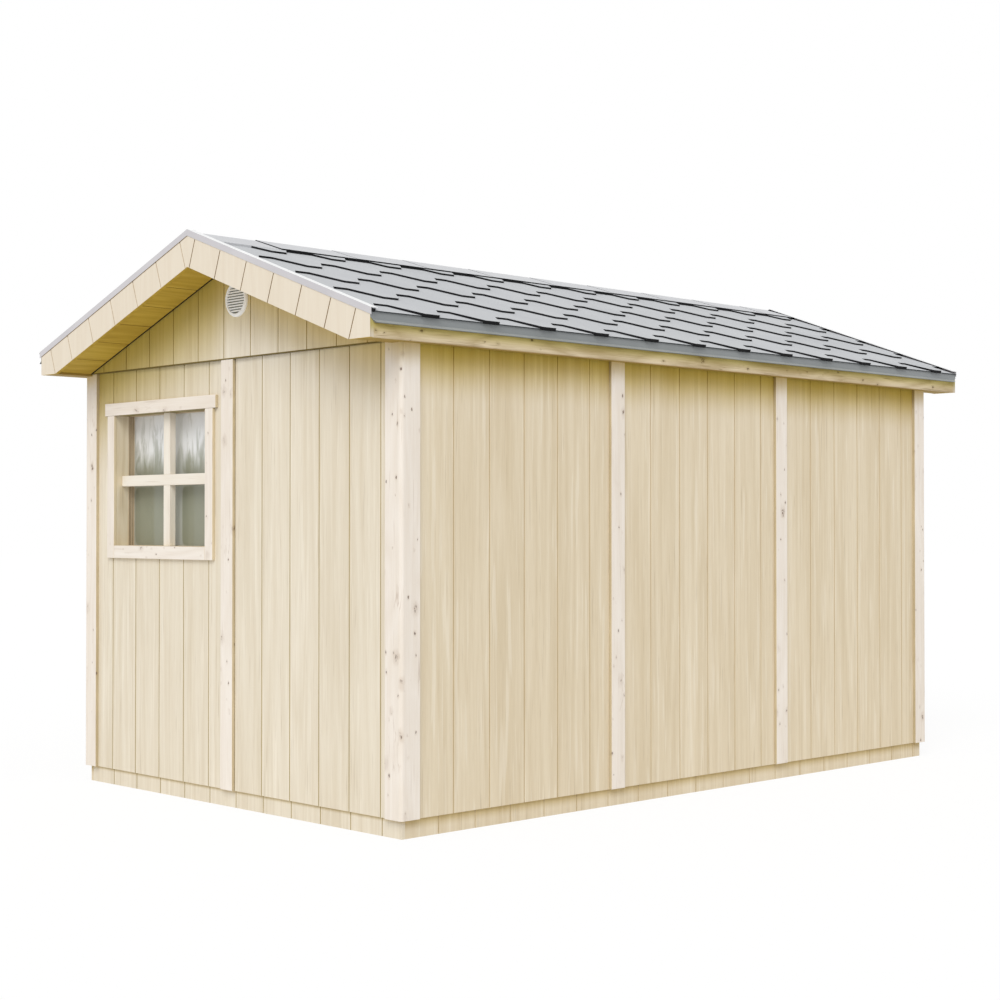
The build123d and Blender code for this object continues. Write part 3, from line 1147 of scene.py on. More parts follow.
    # Near black: the felt's dark edges together with painted shadow below them.
    black_edge_and_shadow: Felt = Felt("black_edge_and_shadow", srgb(16, 16, 18), srgb(8, 8, 10))
    starter_edge: Felt = Felt("starter_edge", srgb(54, 58, 61), srgb(38, 42, 45))
    ridge: Felt = Felt("ridge_face", srgb(208, 209, 211), srgb(197, 198, 201))
    eave_metal: Coated = Coated(
        "eave_metal", srgb(138, 142, 143), srgb(127, 131, 132), METAL_SHINE
    )
    # The eave flashing's kicked-out lip, paler: painted highlight.
    eave_lip_highlight: Coated = Coated("eave_lip_highlight", srgb(160, 163, 160), srgb(148, 151, 148), METAL_SHINE)
    verge_metal: Coated = Coated(
        "verge_metal", srgb(206, 203, 205), srgb(196, 193, 196), VERGE_SHINE
    )
    # Top faces of the verge flashings, near white: painted highlight.
    verge_top_highlight: Coated = Coated("verge_top_highlight", srgb(240, 241, 241), srgb(232, 233, 233), VERGE_SHINE)
    # Underside of the verge flashings, dark: painted shade.
    verge_shade: Coated = Coated(
        "verge_underside_shade", srgb(120, 112, 104), srgb(98, 90, 82), Span(0.4, 0.5)
    )
    vent_plastic: Coated = Coated(
        "vent_plastic", srgb(255, 255, 254), srgb(250, 250, 248), Span(0.4, 0.5)
    )
    vent_mesh: Coated = Coated(
        "vent_mesh", srgb(186, 186, 174), srgb(160, 160, 148), Span(0.6, 0.8)
    )


def stand(name: str, shape: bmesh.types.BMesh) -> bpy.types.Object:
    """Turn a shape into an object at the origin.

    Args:
        name: Name of the object and its mesh.
        shape: The shape, which is used up.

    Returns:
        The object, linked to the scene.
    """
    mesh = bpy.data.meshes.new(name)
    shape.to_mesh(mesh)
    shape.free()
    made = bpy.data.objects.new(name, mesh)
    bpy.context.scene.collection.objects.link(made)
    return made


class Solid:
    """One closed body under construction, shaped by mesh operators."""

    def __init__(self) -> None:
        """Start an empty body."""
        self.mesh = bmesh.new()

    @classmethod
    def prism(cls, outline: Sequence[Vector], sweep: Vector) -> "Solid":
        """Push a flat outline along a straight line.

        Args:
            outline: The outline's corners in order.
            sweep: How far and which way the outline is pushed.

        Returns:
            The closed body.
        """
        made = cls()
        foot = made.mesh.faces.new([made.mesh.verts.new(point) for point in outline])
        grown = bmesh.ops.extrude_face_region(made.mesh, geom=[foot])["geom"]
        moved = [part for part in grown if isinstance(part, bmesh.types.BMVert)]
        bmesh.ops.translate(made.mesh, vec=sweep, verts=moved)
        return made.turned_out()

    @classmethod
    def block(cls, low: Vector, high: Vector) -> "Solid":
        """Make a block between two corners.

        Args:
            low: The lowest corner.
            high: The highest corner.

        Returns:
            The closed body.
        """
        made = cls()
        size = high - low
        shape = Matrix.Translation((low + high) / 2) @ Matrix.Diagonal((*size, 1))
        bmesh.ops.create_cube(made.mesh, size=1, matrix=shape)
        return made

    @classmethod
    def rod(
        cls, centre: Vector, axis: Vector, radius: float, length: float, segments: int
    ) -> "Solid":
        """Make a round rod.

        Args:
            centre: Its middle.
            axis: The direction of its length.
            radius: Its radius.
            length: Its length.
            segments: Number of facets round it.

        Returns:
            The closed body.
        """
        made = cls()
        shape = Matrix.Translation(centre) @ axis.to_track_quat("Z", "Y").to_matrix().to_4x4()
        bmesh.ops.create_cone(
            made.mesh,
            cap_ends=True,
            segments=segments,
            radius1=radius,
            radius2=radius,
            depth=length,
            matrix=shape,
        )
        return made

    @classmethod
    def swept(cls, points: Sequence[Vector], along: Plane) -> "Solid":
        """Make the body that a node's outline, seen along one direction, gives over its length.

        Args:
            points: The node's corner points.
            along: The plane of the outline, whose out is the direction of the length.

        Returns:
            The closed body.
        """
        length = along.spans(points)[2]
        outline = outline_of([along.flat(point) for point in points])
        foot = [along.space(p.x, p.y, length.low) for p in outline]
        return cls.prism(foot, along.out * length.length)

    @classmethod
    def slab(
        cls,
        face: Plane,
        across: Span,
        rise: Span,
        depth: Span,
        notches: Sequence[tuple[float, float]] = (),
    ) -> "Solid":
        """Make a slab on a plane.

        Args:
            face: The slab's plane.
            across: Its stretch along u.
            rise: Its stretch along v.
            depth: Its stretch along out.
            notches: Corners of the grooves in its outer face, along u and out.

        Returns:
            The closed body.
        """
        ring = [(across.low, depth.high), *notches, (across.high, depth.high)]
        ring += [(across.high, depth.low), (across.low, depth.low)]
        foot = [face.space(u, rise.low, out) for u, out in ring]
        return cls.prism(foot, face.v * rise.length)

    @classmethod
    def plate(
        cls,
        points: Sequence[Vector],
        face: Plane,
        lines: Sequence[float] = (),
        groove: Groove = Groove(),
    ) -> "Solid":
        """Make a sheet with grooves across its face, to the outline of a node.

        Args:
            points: The node's corner points.
            face: The sheet's plane, whose v runs along the grooves.
            lines: Places of the grooves along u.
            groove: Shape of each groove.

        Returns:
            The closed body.
        """
        across, rise, depth = face.spans(points)
        notches: list[tuple[float, float]] = []
        for line in sorted(across.within(lines, groove.width)):
            notches.extend(groove.notch(line, depth.high))
        made = cls.slab(face, across, rise, depth, notches)
        outline = [p.xy for p in outline_of([face.flat(point) for point in points])]
        centre = Vector((across.middle, rise.middle))
        for first, second in zip(outline, outline[1:] + outline[:1]):
            run = second - first
            if min(abs(run.x), abs(run.y)) < TINY:
                continue
            normal = Vector((run.y, -run.x)).normalized()
            if normal.dot(centre - first) > 0:
                normal.negate()
            made.cut(face.space(*first, depth.low), face.u * normal.x + face.v * normal.y)

        is_end = looks_along(face.v, LENGTHWISE)

        def in_groove(side: bmesh.types.BMFace) -> bool:
            """Tell whether a face is the bed or a wall of a groove."""
            u, _, out = face.flat(side.calc_center_median())
            return across.holds(u, TINY) and depth.holds(out, TINY) and not is_end(side)

        return made.paint(Coat.GROOVE, in_groove)

    def turned_out(self) -> "Solid":
        """Turn every face outwards and give the same body."""
        bmesh.ops.recalc_face_normals(self.mesh, faces=self.mesh.faces[:])
        return self

    def cut(self, point: Vector, normal: Vector) -> "Solid":
        """Cut away what lies beyond a plane and close the cut.

        Args:
            point: A point of the plane.
            normal: The direction beyond it.

        Returns:
            The same body.
        """
        parted = bmesh.ops.bisect_plane(
            self.mesh,
            geom=self.mesh.verts[:] + self.mesh.edges[:] + self.mesh.faces[:],
            dist=TINY,
            plane_co=point,
            plane_no=normal,
            clear_outer=True,
        )
        rim = [part for part in parted["geom_cut"] if isinstance(part, bmesh.types.BMEdge)]
        if rim:
            bmesh.ops.edgeloop_fill(self.mesh, edges=rim)
        return self.turned_out()

    def ease(
        self, radius: float, segments: int = 2, keep: Optional[EdgeTest] = None
    ) -> "Solid":
        """Round the body's sharp edges.

        Args:
            radius: How far the rounding reaches from the edge.
            segments: Number of facets in the rounding.
            keep: Test of which edges are rounded, or every edge.

        Returns:
            The same body.
        """
        closed = [edge for edge in self.mesh.edges if edge.is_manifold]
        sharp = [edge for edge in closed if edge.calc_face_angle() > SHARP]
        if keep is not None:
            sharp = [edge for edge in sharp if keep(edge)]
        bmesh.ops.bevel(
            self.mesh,
            geom=sharp,
            offset=radius,
            offset_type="OFFSET",
            segments=segments,
            profile=0.5,
            affect="EDGES",
            clamp_overlap=True,
            material=-1,
        )
        return self

    def paint(self, coat: Coat, test: Optional[FaceTest] = None) -> "Solid":
        """Mark what the finish on faces covers.

        Args:
            coat: What it covers.
            test: Test of which faces are marked, or every face.

        Returns:
            The same body.
        """
        self.mesh.normal_update()
        for face in self.mesh.faces:
            if test is None or test(face):
                face.material_index = coat
        return self


class Piece:
    """One piece of the shed: closed bodies that share an object and its finishes."""

    def __init__(self, name: str, slot: str, finishes: dict[Coat, Finish]) -> None:
        """Start an empty piece.

        Args:
            name: Name of the piece.
            slot: Name of a material slot; it is not used.
            finishes: Its finishes by what they cover.
        """
        self.name = name
        self.slot = slot
        self.finishes = finishes
        self.shell = Solid()
        self.bores: list[Solid] = []

    def add(self, solid: Solid) -> None:
        """Add a closed body to the piece.

        Args:
            solid: The body, which is used up.
        """
        order = list(self.finishes)
        for face in solid.mesh.faces:
            face.material_index = order.index(Coat(face.material_index))
        carrier = bpy.data.meshes.new("carrier")
        solid.turned_out().mesh.to_mesh(carrier)
        solid.mesh.free()
        self.shell.mesh.from_mesh(carrier)
        bpy.data.meshes.remove(carrier)

    def bore(self, solid: Solid) -> None:
        """Note a body that is cut out of the piece when it is done."""
        self.bores.append(solid)

    def done(self, *nodes: str) -> bpy.types.Object:
        """Turn the piece into an object that rides on the shed.

        Args:
            *nodes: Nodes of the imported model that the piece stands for.

        Returns:
            The finished object.
        """
        made = stand(self.name, self.shell.mesh)
        for finish in self.finishes.values():
            made.data.materials.append(finish.material())
        for solid in self.bores:
            self.cut_out(made, solid)
        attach(made, BODY)
        if nodes:
            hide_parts(*nodes)
        LOG.info("%s: %d faces", self.name, len(made.data.polygons))
        return made

    def cut_out(self, made: bpy.types.Object, solid: Solid) -> None:
        """Cut a body out of the finished object.

        Args:
            made: The object.
            solid: The body, which is used up.
        """
        cutter = stand("cutter", solid.turned_out().mesh)
        opening = made.modifiers.new("opening", "BOOLEAN")
        opening.operation = "DIFFERENCE"
        opening.solver = "EXACT"
        opening.object = cutter
        shown = made.evaluated_get(bpy.context.evaluated_depsgraph_get())
        spare = (cutter.data, made.data)
        made.data = bpy.data.meshes.new_from_object(shown)
        made.modifiers.clear()
        bpy.data.objects.remove(cutter)
        for mesh in spare:
            bpy.data.meshes.remove(mesh)
        made.data.name = self.name


def dress(node: str, finish: Finish) -> None:
    """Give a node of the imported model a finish.

    Args:
        node: The node's name.
        finish: Its finish.
    """
    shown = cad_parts[node].data.materials
    shown.clear()
    shown.append(finish.material())


@dataclass
class Cladding:
    """The grooved sheets of the walls, their plinths and the door leaves."""

    palette: Palette
    groove: Groove = Groove()
    side_lines: Spacing = Spacing(-1.584, 0.2035)
    gable_lines: Spacing = Spacing(0.156, 0.1987)
    upper_lines: Spacing = Spacing(0.022, 0.1985)
    plinth_lines: Spacing = Spacing(-1.657, 0.2028)
    vent_throat: float = 0.067
    throat_length: float = 1.0
    throat_segments: int = 48
    foot_shadow: float = 0.005
    foot_step: float = 0.0006

    def build(self) -> None:
        """Build every sheet on the shed."""
        near, far = (Plane.wall(side.out) for side in Side)
        window, back = (Plane.wall(gable.out) for gable in Gable)
        for node in ("near_side_panel_1", "near_side_panel_2", "near_side_panel_3"):
            self.sheet(node, [near], self.side_lines)
        for node in ("door_head_panel", "door_leaf_left", "door_leaf_right"):
            self.sheet(node, [far], self.side_lines)
        self.sheet("far_side_panels", [far, far], self.side_lines, X_AXIS)
        self.sheet("window_gable_plain_panel", [window], self.gable_lines)
        self.sheet("far_gable_panels", [back, back], self.gable_lines, Y_AXIS)
        low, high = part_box("window_frame")
        opening = Solid.block(low - X_AXIS, high + X_AXIS)
        self.sheet("window_panel", [window], self.gable_lines, opening=opening)
        foot = self.palette.side_foot
        self.sheet("side_plinths", [near, far], self.plinth_lines, Y_AXIS, wood=foot)
        foot = self.palette.gable_foot
        self.sheet("gable_plinths", [window, back], self.gable_lines, X_AXIS, wood=foot)
        for gable in Gable:
            self.upper(gable)

    def sheet(
        self,
        node: str,
        planes: Sequence[Plane],
        spacing: Spacing,
        parted: Optional[Vector] = None,
        opening: Optional[Solid] = None,
        wood: Optional[Wood] = None,
        foot_shadow: bool = False,
    ) -> None:
        """Build the grooved sheets that stand for one node.

        Args:
            node: The node's name.
            planes: The plane that each of its solids faces.
            spacing: Where the grooves fall.
            parted: The direction in which its two solids lie apart, where it has two.
            opening: A body that is cut out, if any.
            wood: Its finish, or the one of the wall that it faces.
            foot_shadow: Whether a thin dark strip of painted shadow runs along its foot.
        """
        if abs(planes[0].out.x) > TINY:
            face, groove = self.palette.gable_sheet, self.palette.gable_groove_shade
        else:
            face, groove = self.palette.side_sheet, self.palette.side_groove_shade
        finishes = {
            Coat.FACE: wood or face,
            Coat.GROOVE: groove,
            Coat.FOOT: self.palette.painted_foot_shadow,
        }
        piece = Piece(f"{node}_grooved", "sheet", finishes)
        solids = [corners(node)] if parted is None else halves(node, parted)
        for points, plane in zip(solids, planes):
            across, rise, depth = plane.spans(points)
            piece.add(Solid.plate(points, plane, spacing.lines(across), self.groove))
            # A thin dark strip along the foot: painted shadow under the sheet's lower edge.
            if foot_shadow:
                foot = Span(rise.low, rise.low + self.foot_shadow)
                skin = Span(depth.high - self.foot_shadow, depth.high + self.foot_step)
                piece.add(Solid.slab(plane, across, foot, skin).paint(Coat.FOOT))
        if opening is not None:
            piece.bore(opening)
        piece.done(node)

    def upper(self, gable: Gable) -> None:
        """Build the upper sheet of a gable, with the hole behind its vent.

        Args:
            gable: The gable.
        """
        low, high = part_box(f"{gable.word}_vent")
        hole = Solid.rod(
            (low + high) / 2, X_AXIS, self.vent_throat, self.throat_length, self.throat_segments
        )
        node = f"{gable.word}_upper_panel"
        plane = Plane.wall(gable.out)
        self.sheet(node, [plane], self.upper_lines, opening=hole, foot_shadow=True)


@dataclass
class VentGrille:
    """The round louvred vent high in each gable."""

    palette: Palette
    inset: float = 0.003
    rim: float = 0.015
    lip: float = 0.004
    segments: int = 64
    slats: int = 10
    slat: float = 0.0062
    slat_rise: float = 0.0025
    slat_front: float = 0.0105
    slat_back: float = 0.003
    slat_bite: float = 0.001
    mesh_radius: float = 0.064
    mesh_depth: float = 0.0015
    radius: float = field(init=False)
    depth: float = field(init=False)
    centre: Vector = field(init=False)

    def build(self) -> None:
        """Build the vent in each gable."""
        finishes = {Coat.FACE: self.palette.vent_plastic, Coat.SCREEN: self.palette.vent_mesh}
        for gable in Gable:
            node = f"{gable.word}_vent"
            low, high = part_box(node)
            self.radius = (high.y - low.y) / 2 - self.inset
            self.depth = high.x - low.x
            wall = low.x if gable is Gable.FAR else high.x
            self.centre = Vector((wall, (low.y + high.y) / 2, (low.z + high.z) / 2))
            piece = Piece(f"{node}_louvred", "vent_white", finishes)
            piece.add(self.ring(gable))
            for slat in self.louvres(gable):
                piece.add(slat)
            middle = self.centre - gable.out * self.mesh_depth
            screen = Solid.rod(middle, X_AXIS, self.mesh_radius, self.mesh_depth, self.segments)
            piece.add(screen.paint(Coat.SCREEN))
            piece.done(node)

    def ring(self, gable: Gable) -> Solid:
        """Turn the moulded rim round the vent's centre.

        Args:
            gable: The gable that it is on.

        Returns:
            The rim.
        """
        inner = self.radius - self.rim
        half = self.lip / 2
        profile = [
            (inner, 0.0),
            (self.radius, 0.0),
            (self.radius, self.depth - 2 * self.lip),
            (self.radius - half, self.depth - self.lip),
            (self.radius - self.lip - half, self.depth),
            (inner + half, self.depth),
            (inner, self.depth - half),
        ]
        made = Solid()
        places = [self.centre + gable.out * out + Z_AXIS * radius for radius, out in profile]
        loop = [made.mesh.verts.new(place) for place in places]
        edges = [made.mesh.edges.new(pair) for pair in zip(loop, loop[1:] + loop[:1])]
        bmesh.ops.spin(
            made.mesh,
            geom=loop + edges,
            cent=self.centre,
            axis=X_AXIS,
            angle=math.tau,
            steps=self.segments,
            use_merge=True,
            use_duplicate=False,
        )
        return made.turned_out()

    def louvres(self, gable: Gable) -> list[Solid]:
        """Make the slats, which slope down to the outside.

        Args:
            gable: The gable that they are on.

        Returns:
            The slats from the lowest up.
        """
        inner = self.radius - self.rim + self.slat_bite
        pitch = 2 * inner / (self.slats + 1)
        profile = [
            (self.slat_front, 0.0),
            (self.slat_front, self.slat),
            (self.slat_back, self.slat + self.slat_rise),
            (self.slat_back, self.slat_rise),
        ]
        made = []
        for number in range(self.slats):
            height = -inner + pitch * (number + 1)
            reach = math.sqrt(inner**2 - (abs(height) + self.slat / 2) ** 2)
            start = self.centre + Z_AXIS * (height - self.slat / 2) - Y_AXIS * reach
            outline = [start + gable.out * out + Z_AXIS * rise for out, rise in profile]
            made.append(Solid.prism(outline, Y_AXIS * (2 * reach)))
        return made


@dataclass
class Trims:
    """The planed corner trims and the battens over the sheet joints."""

    palette: Palette
    easing: float = 0.003
    corner_easing: float = 0.016
    corner_segments: int = 6

    @property
    def finishes(self) -> dict[Coat, Finish]:
        """Finishes of every trim."""
        return {Coat.FACE: self.palette.trim, Coat.EDGE: self.palette.trim_side_shade}

    def build(self) -> None:
        """Build every trim and batten."""
        for side in Side:
            node = f"{side.word}_side_battens"
            self.battens(node, halves(node, X_AXIS), X_AXIS)
            self.corners(side)
        for gable in Gable:
            node = f"{gable.word}_batten"
            self.battens(node, [corners(node)], Y_AXIS)

    def battens(self, node: str, solids: Sequence[list[Vector]], across: Vector) -> None:
        """Build the battens of one node.

        Args:
            node: The node's name.
            solids: Corner points of each batten.
            across: The direction that their edges face along.
        """
        piece = Piece(f"{node}_planed", "trim", self.finishes)
        for points in solids:
            batten = Solid.swept(points, Plane(X_AXIS, Y_AXIS, Z_AXIS)).ease(self.easing)
            # The battens' side faces take the painted shade.
            piece.add(batten.paint(Coat.EDGE, looks_along(across)))
        piece.done(node)

    def corners(self, side: Side) -> None:
        """Build the two angled corner trims on one long side.

        Args:
            side: The long side.
        """
        node = f"{side.word}_corner_trims"
        low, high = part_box(node)
        inner, outer = sorted((low.y, high.y), key=abs)
        width = abs(outer - inner)
        batten_low, batten_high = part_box("near_side_battens")
        thickness = batten_high.y - batten_low.y
        inside = outer - thickness * side.value
        piece = Piece(f"{node}_planed", "trim", self.finishes)
        for gable in Gable:
            end = high.x * gable.value
            back = (high.x - width) * gable.value
            sheet = (high.x - thickness) * gable.value
            plan = [(end, outer), (back, outer), (back, inside)]
            plan += [(sheet, inside), (sheet, inner), (end, inner)]
            outline = [Vector((x, y, low.z)) for x, y in plan]
            solid = Solid.prism(outline, Z_AXIS * (high.z - low.z))
            corner = Vector((end, outer))
            round_off = self.corner_easing, self.corner_segments
            solid.ease(*round_off, keep=lambda edge: self.upright_at(edge, corner))
            solid.ease(self.easing, keep=lambda edge: self.on_face(edge, corner))
            # The trim's faces that look in towards the shed take the painted shade.
            piece.add(solid.paint(Coat.EDGE, looks(-(gable.out + side.out))))
        piece.done(node)

    def upright_at(self, edge: bmesh.types.BMEdge, corner: Vector) -> bool:
        """Tell whether an edge stands upright at a corner of the plan."""
        return all((vertex.co.xy - corner).length < TINY for vertex in edge.verts)

    def on_face(self, edge: bmesh.types.BMEdge, corner: Vector) -> bool:
        """Tell whether an edge lies on one of the two outer faces at a corner of the plan."""
        away = [vertex.co.xy - corner for vertex in edge.verts]
        return all(abs(p.x) < TINY for p in away) or all(abs(p.y) < TINY for p in away)


@dataclass
class WindowUnit:
    """The window: casing, lining, cross bars, sash and glass."""

    palette: Palette
    easing: float = 0.0025
    bar_width: float = 0.051
    bar_depth: float = 0.034
    bar_setback: float = 0.045
    level_bar_centre: float = 1.4595
    upright_bar_centre: float = 0.540
    sash_setback: float = 0.081
    sash_step: float = 0.0015
    sash_lines: tuple[float, ...] = (0.006, 0.013, 0.024)
    sash_groove: Groove = Groove(0.003, 0.0015, 0.0025)
    # Colours of the glass's painted reflection.
    glass_pale: Colour = srgb(252, 253, 253)
    glass_deep: Colour = srgb(151, 153, 133)
    glass_rim: Colour = srgb(214, 215, 206)

    @property
    def face(self) -> float:
        """Place of the casing's face along X."""
        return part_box("window_casing")[0].x

    @property
    def opening(self) -> tuple[Vector, Vector]:
        """Lowest and highest corner of the glass, which fills the opening."""
        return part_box("window_glass")

    def build(self) -> None:
        """Build the window from the outside in."""
        self.casing()
        self.lining()
        self.bars()
        low, high = self.opening
        pane = Pane(
            "window_glass",
            self.glass_pale,
            self.glass_deep,
            self.glass_rim,
            Span(low.y, high.y),
            Span(low.z, high.z),
            (self.upright_bar_centre, self.level_bar_centre),
            self.bar_width / 2,
        )
        dress("window_glass", pane)

    def board(self, y: Span, z: Span, depth: Span) -> Solid:
        """Make a board.

        Args:
            y: Its stretch across the window.
            z: Its stretch up the window.
            depth: Its stretch inwards from the casing's face.

        Returns:
            The closed body.
        """
        low = Vector((self.face + depth.low, y.low, z.low))
        high = Vector((self.face + depth.high, y.high, z.high))
        return Solid.block(low, high)

    def casing(self) -> None:
        """Build the four casing boards round the opening."""
        low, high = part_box("window_casing")
        inner_low, inner_high = self.opening
        width = inner_low.z - low.z
        skin = Span(0.0, high.x - low.x)
        finishes = {
            Coat.FACE: self.palette.trim,
            Coat.LEVEL: self.palette.level_trim,
            Coat.EDGE: self.palette.casing_side_shade,
            Coat.UNDERSIDE: self.palette.reveal_head_shade,
        }
        piece = Piece("window_casing_boards", "trim", finishes)
        head = self.board(Span(low.y, high.y), Span(inner_high.z, high.z), skin)
        # The head's ends take painted shade, and its underside the deeper painted shade under the
        # window head.
        head.ease(self.easing).paint(Coat.LEVEL).paint(Coat.EDGE, looks_along(Y_AXIS))
        piece.add(head.paint(Coat.UNDERSIDE, looks(-Z_AXIS)))
        sill = self.board(Span(inner_low.y, inner_high.y), Span(low.z, inner_low.z), skin)
        boards = [sill.ease(self.easing).paint(Coat.LEVEL)]
        for y in (inner_low.y - width, inner_high.y):
            post = self.board(Span(y, y + width), Span(low.z, inner_high.z), skin)
            boards.append(post.ease(self.easing))
        # The sill's and posts' sides and undersides take painted shade.
        for solid in boards:
            solid.paint(Coat.EDGE, looks_along(Y_AXIS))
            piece.add(solid.paint(Coat.EDGE, looks(-Z_AXIS)))
        piece.done("window_casing")

    def ring(self, inset: float, outset: float, depth: Span) -> list[Solid]:
        """Make four boards round the opening.

        Args:
            inset: How far they stand into the opening.
            outset: How far they reach outside it.
            depth: Their stretch inwards from the casing's face.

        Returns:
            The two upright boards and the two level ones between them.
        """
        low, high = self.opening
        tall = Span(low.z - outset, high.z + outset)
        wide = Span(low.y + inset, high.y - inset)
        return [
            self.board(Span(low.y - outset, low.y + inset), tall, depth),
            self.board(Span(high.y - inset, high.y + outset), tall, depth),
            self.board(wide, Span(low.z - outset, low.z + inset), depth),
            self.board(wide, Span(high.z - inset, high.z + outset), depth),
        ]

    def lining(self) -> None:
        """Build the lining boards and the darker sash behind them."""
        low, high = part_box("window_frame")
        outset = self.opening[0].y - low.y
        start = low.x - self.face
        finishes = {
            Coat.FACE: self.palette.window_timber,
            Coat.GROOVE: self.palette.sash_groove,
            Coat.SASH: self.palette.sash,
            Coat.UNDERSIDE: self.palette.reveal_head_shade,
        }
        piece = Piece("window_lining", "window_timber", finishes)
        # The lining's down-facing faces take the painted shade.
        for solid in self.ring(0.0, outset, Span(start, self.sash_setback)):
            piece.add(solid.paint(Coat.UNDERSIDE, looks(-Z_AXIS)))
        sash = self.ring(self.sash_step, outset, Span(self.sash_setback, high.x - self.face))
        lines = [self.face + self.sash_setback + line for line in self.sash_lines]
        for solid, inward in zip(sash[:2], (Y_AXIS, -Y_AXIS)):
            points = [vertex.co.copy() for vertex in solid.mesh.verts]
            plane = Plane(X_AXIS, Z_AXIS, inward)
            moulded = Solid.plate(points, plane, lines, self.sash_groove)
            piece.add(moulded.paint(Coat.SASH, lambda side: side.material_index == Coat.FACE))
        for solid in sash[2:]:
            piece.add(solid.paint(Coat.SASH))
        piece.done("window_frame")

    def bars(self) -> None:
        """Build the level bar and the two upright ones that meet it."""
        low, high = self.opening
        depth = Span(self.bar_setback, self.bar_setback + self.bar_depth)
        level = Span.about(self.level_bar_centre, self.bar_width / 2)
        upright = Span.about(self.upright_bar_centre, self.bar_width / 2)
        finishes = {Coat.FACE: self.palette.window_bar, Coat.UPRIGHT: self.palette.upright_bar}
        piece = Piece("window_bars", "window_timber", finishes)
        piece.add(self.board(Span(low.y, high.y), level, depth).ease(self.easing))
        for z in (Span(low.z, level.low), Span(level.high, high.z)):
            bar = self.board(upright, z, depth).ease(self.easing)
            piece.add(bar.paint(Coat.UPRIGHT))
        piece.done()


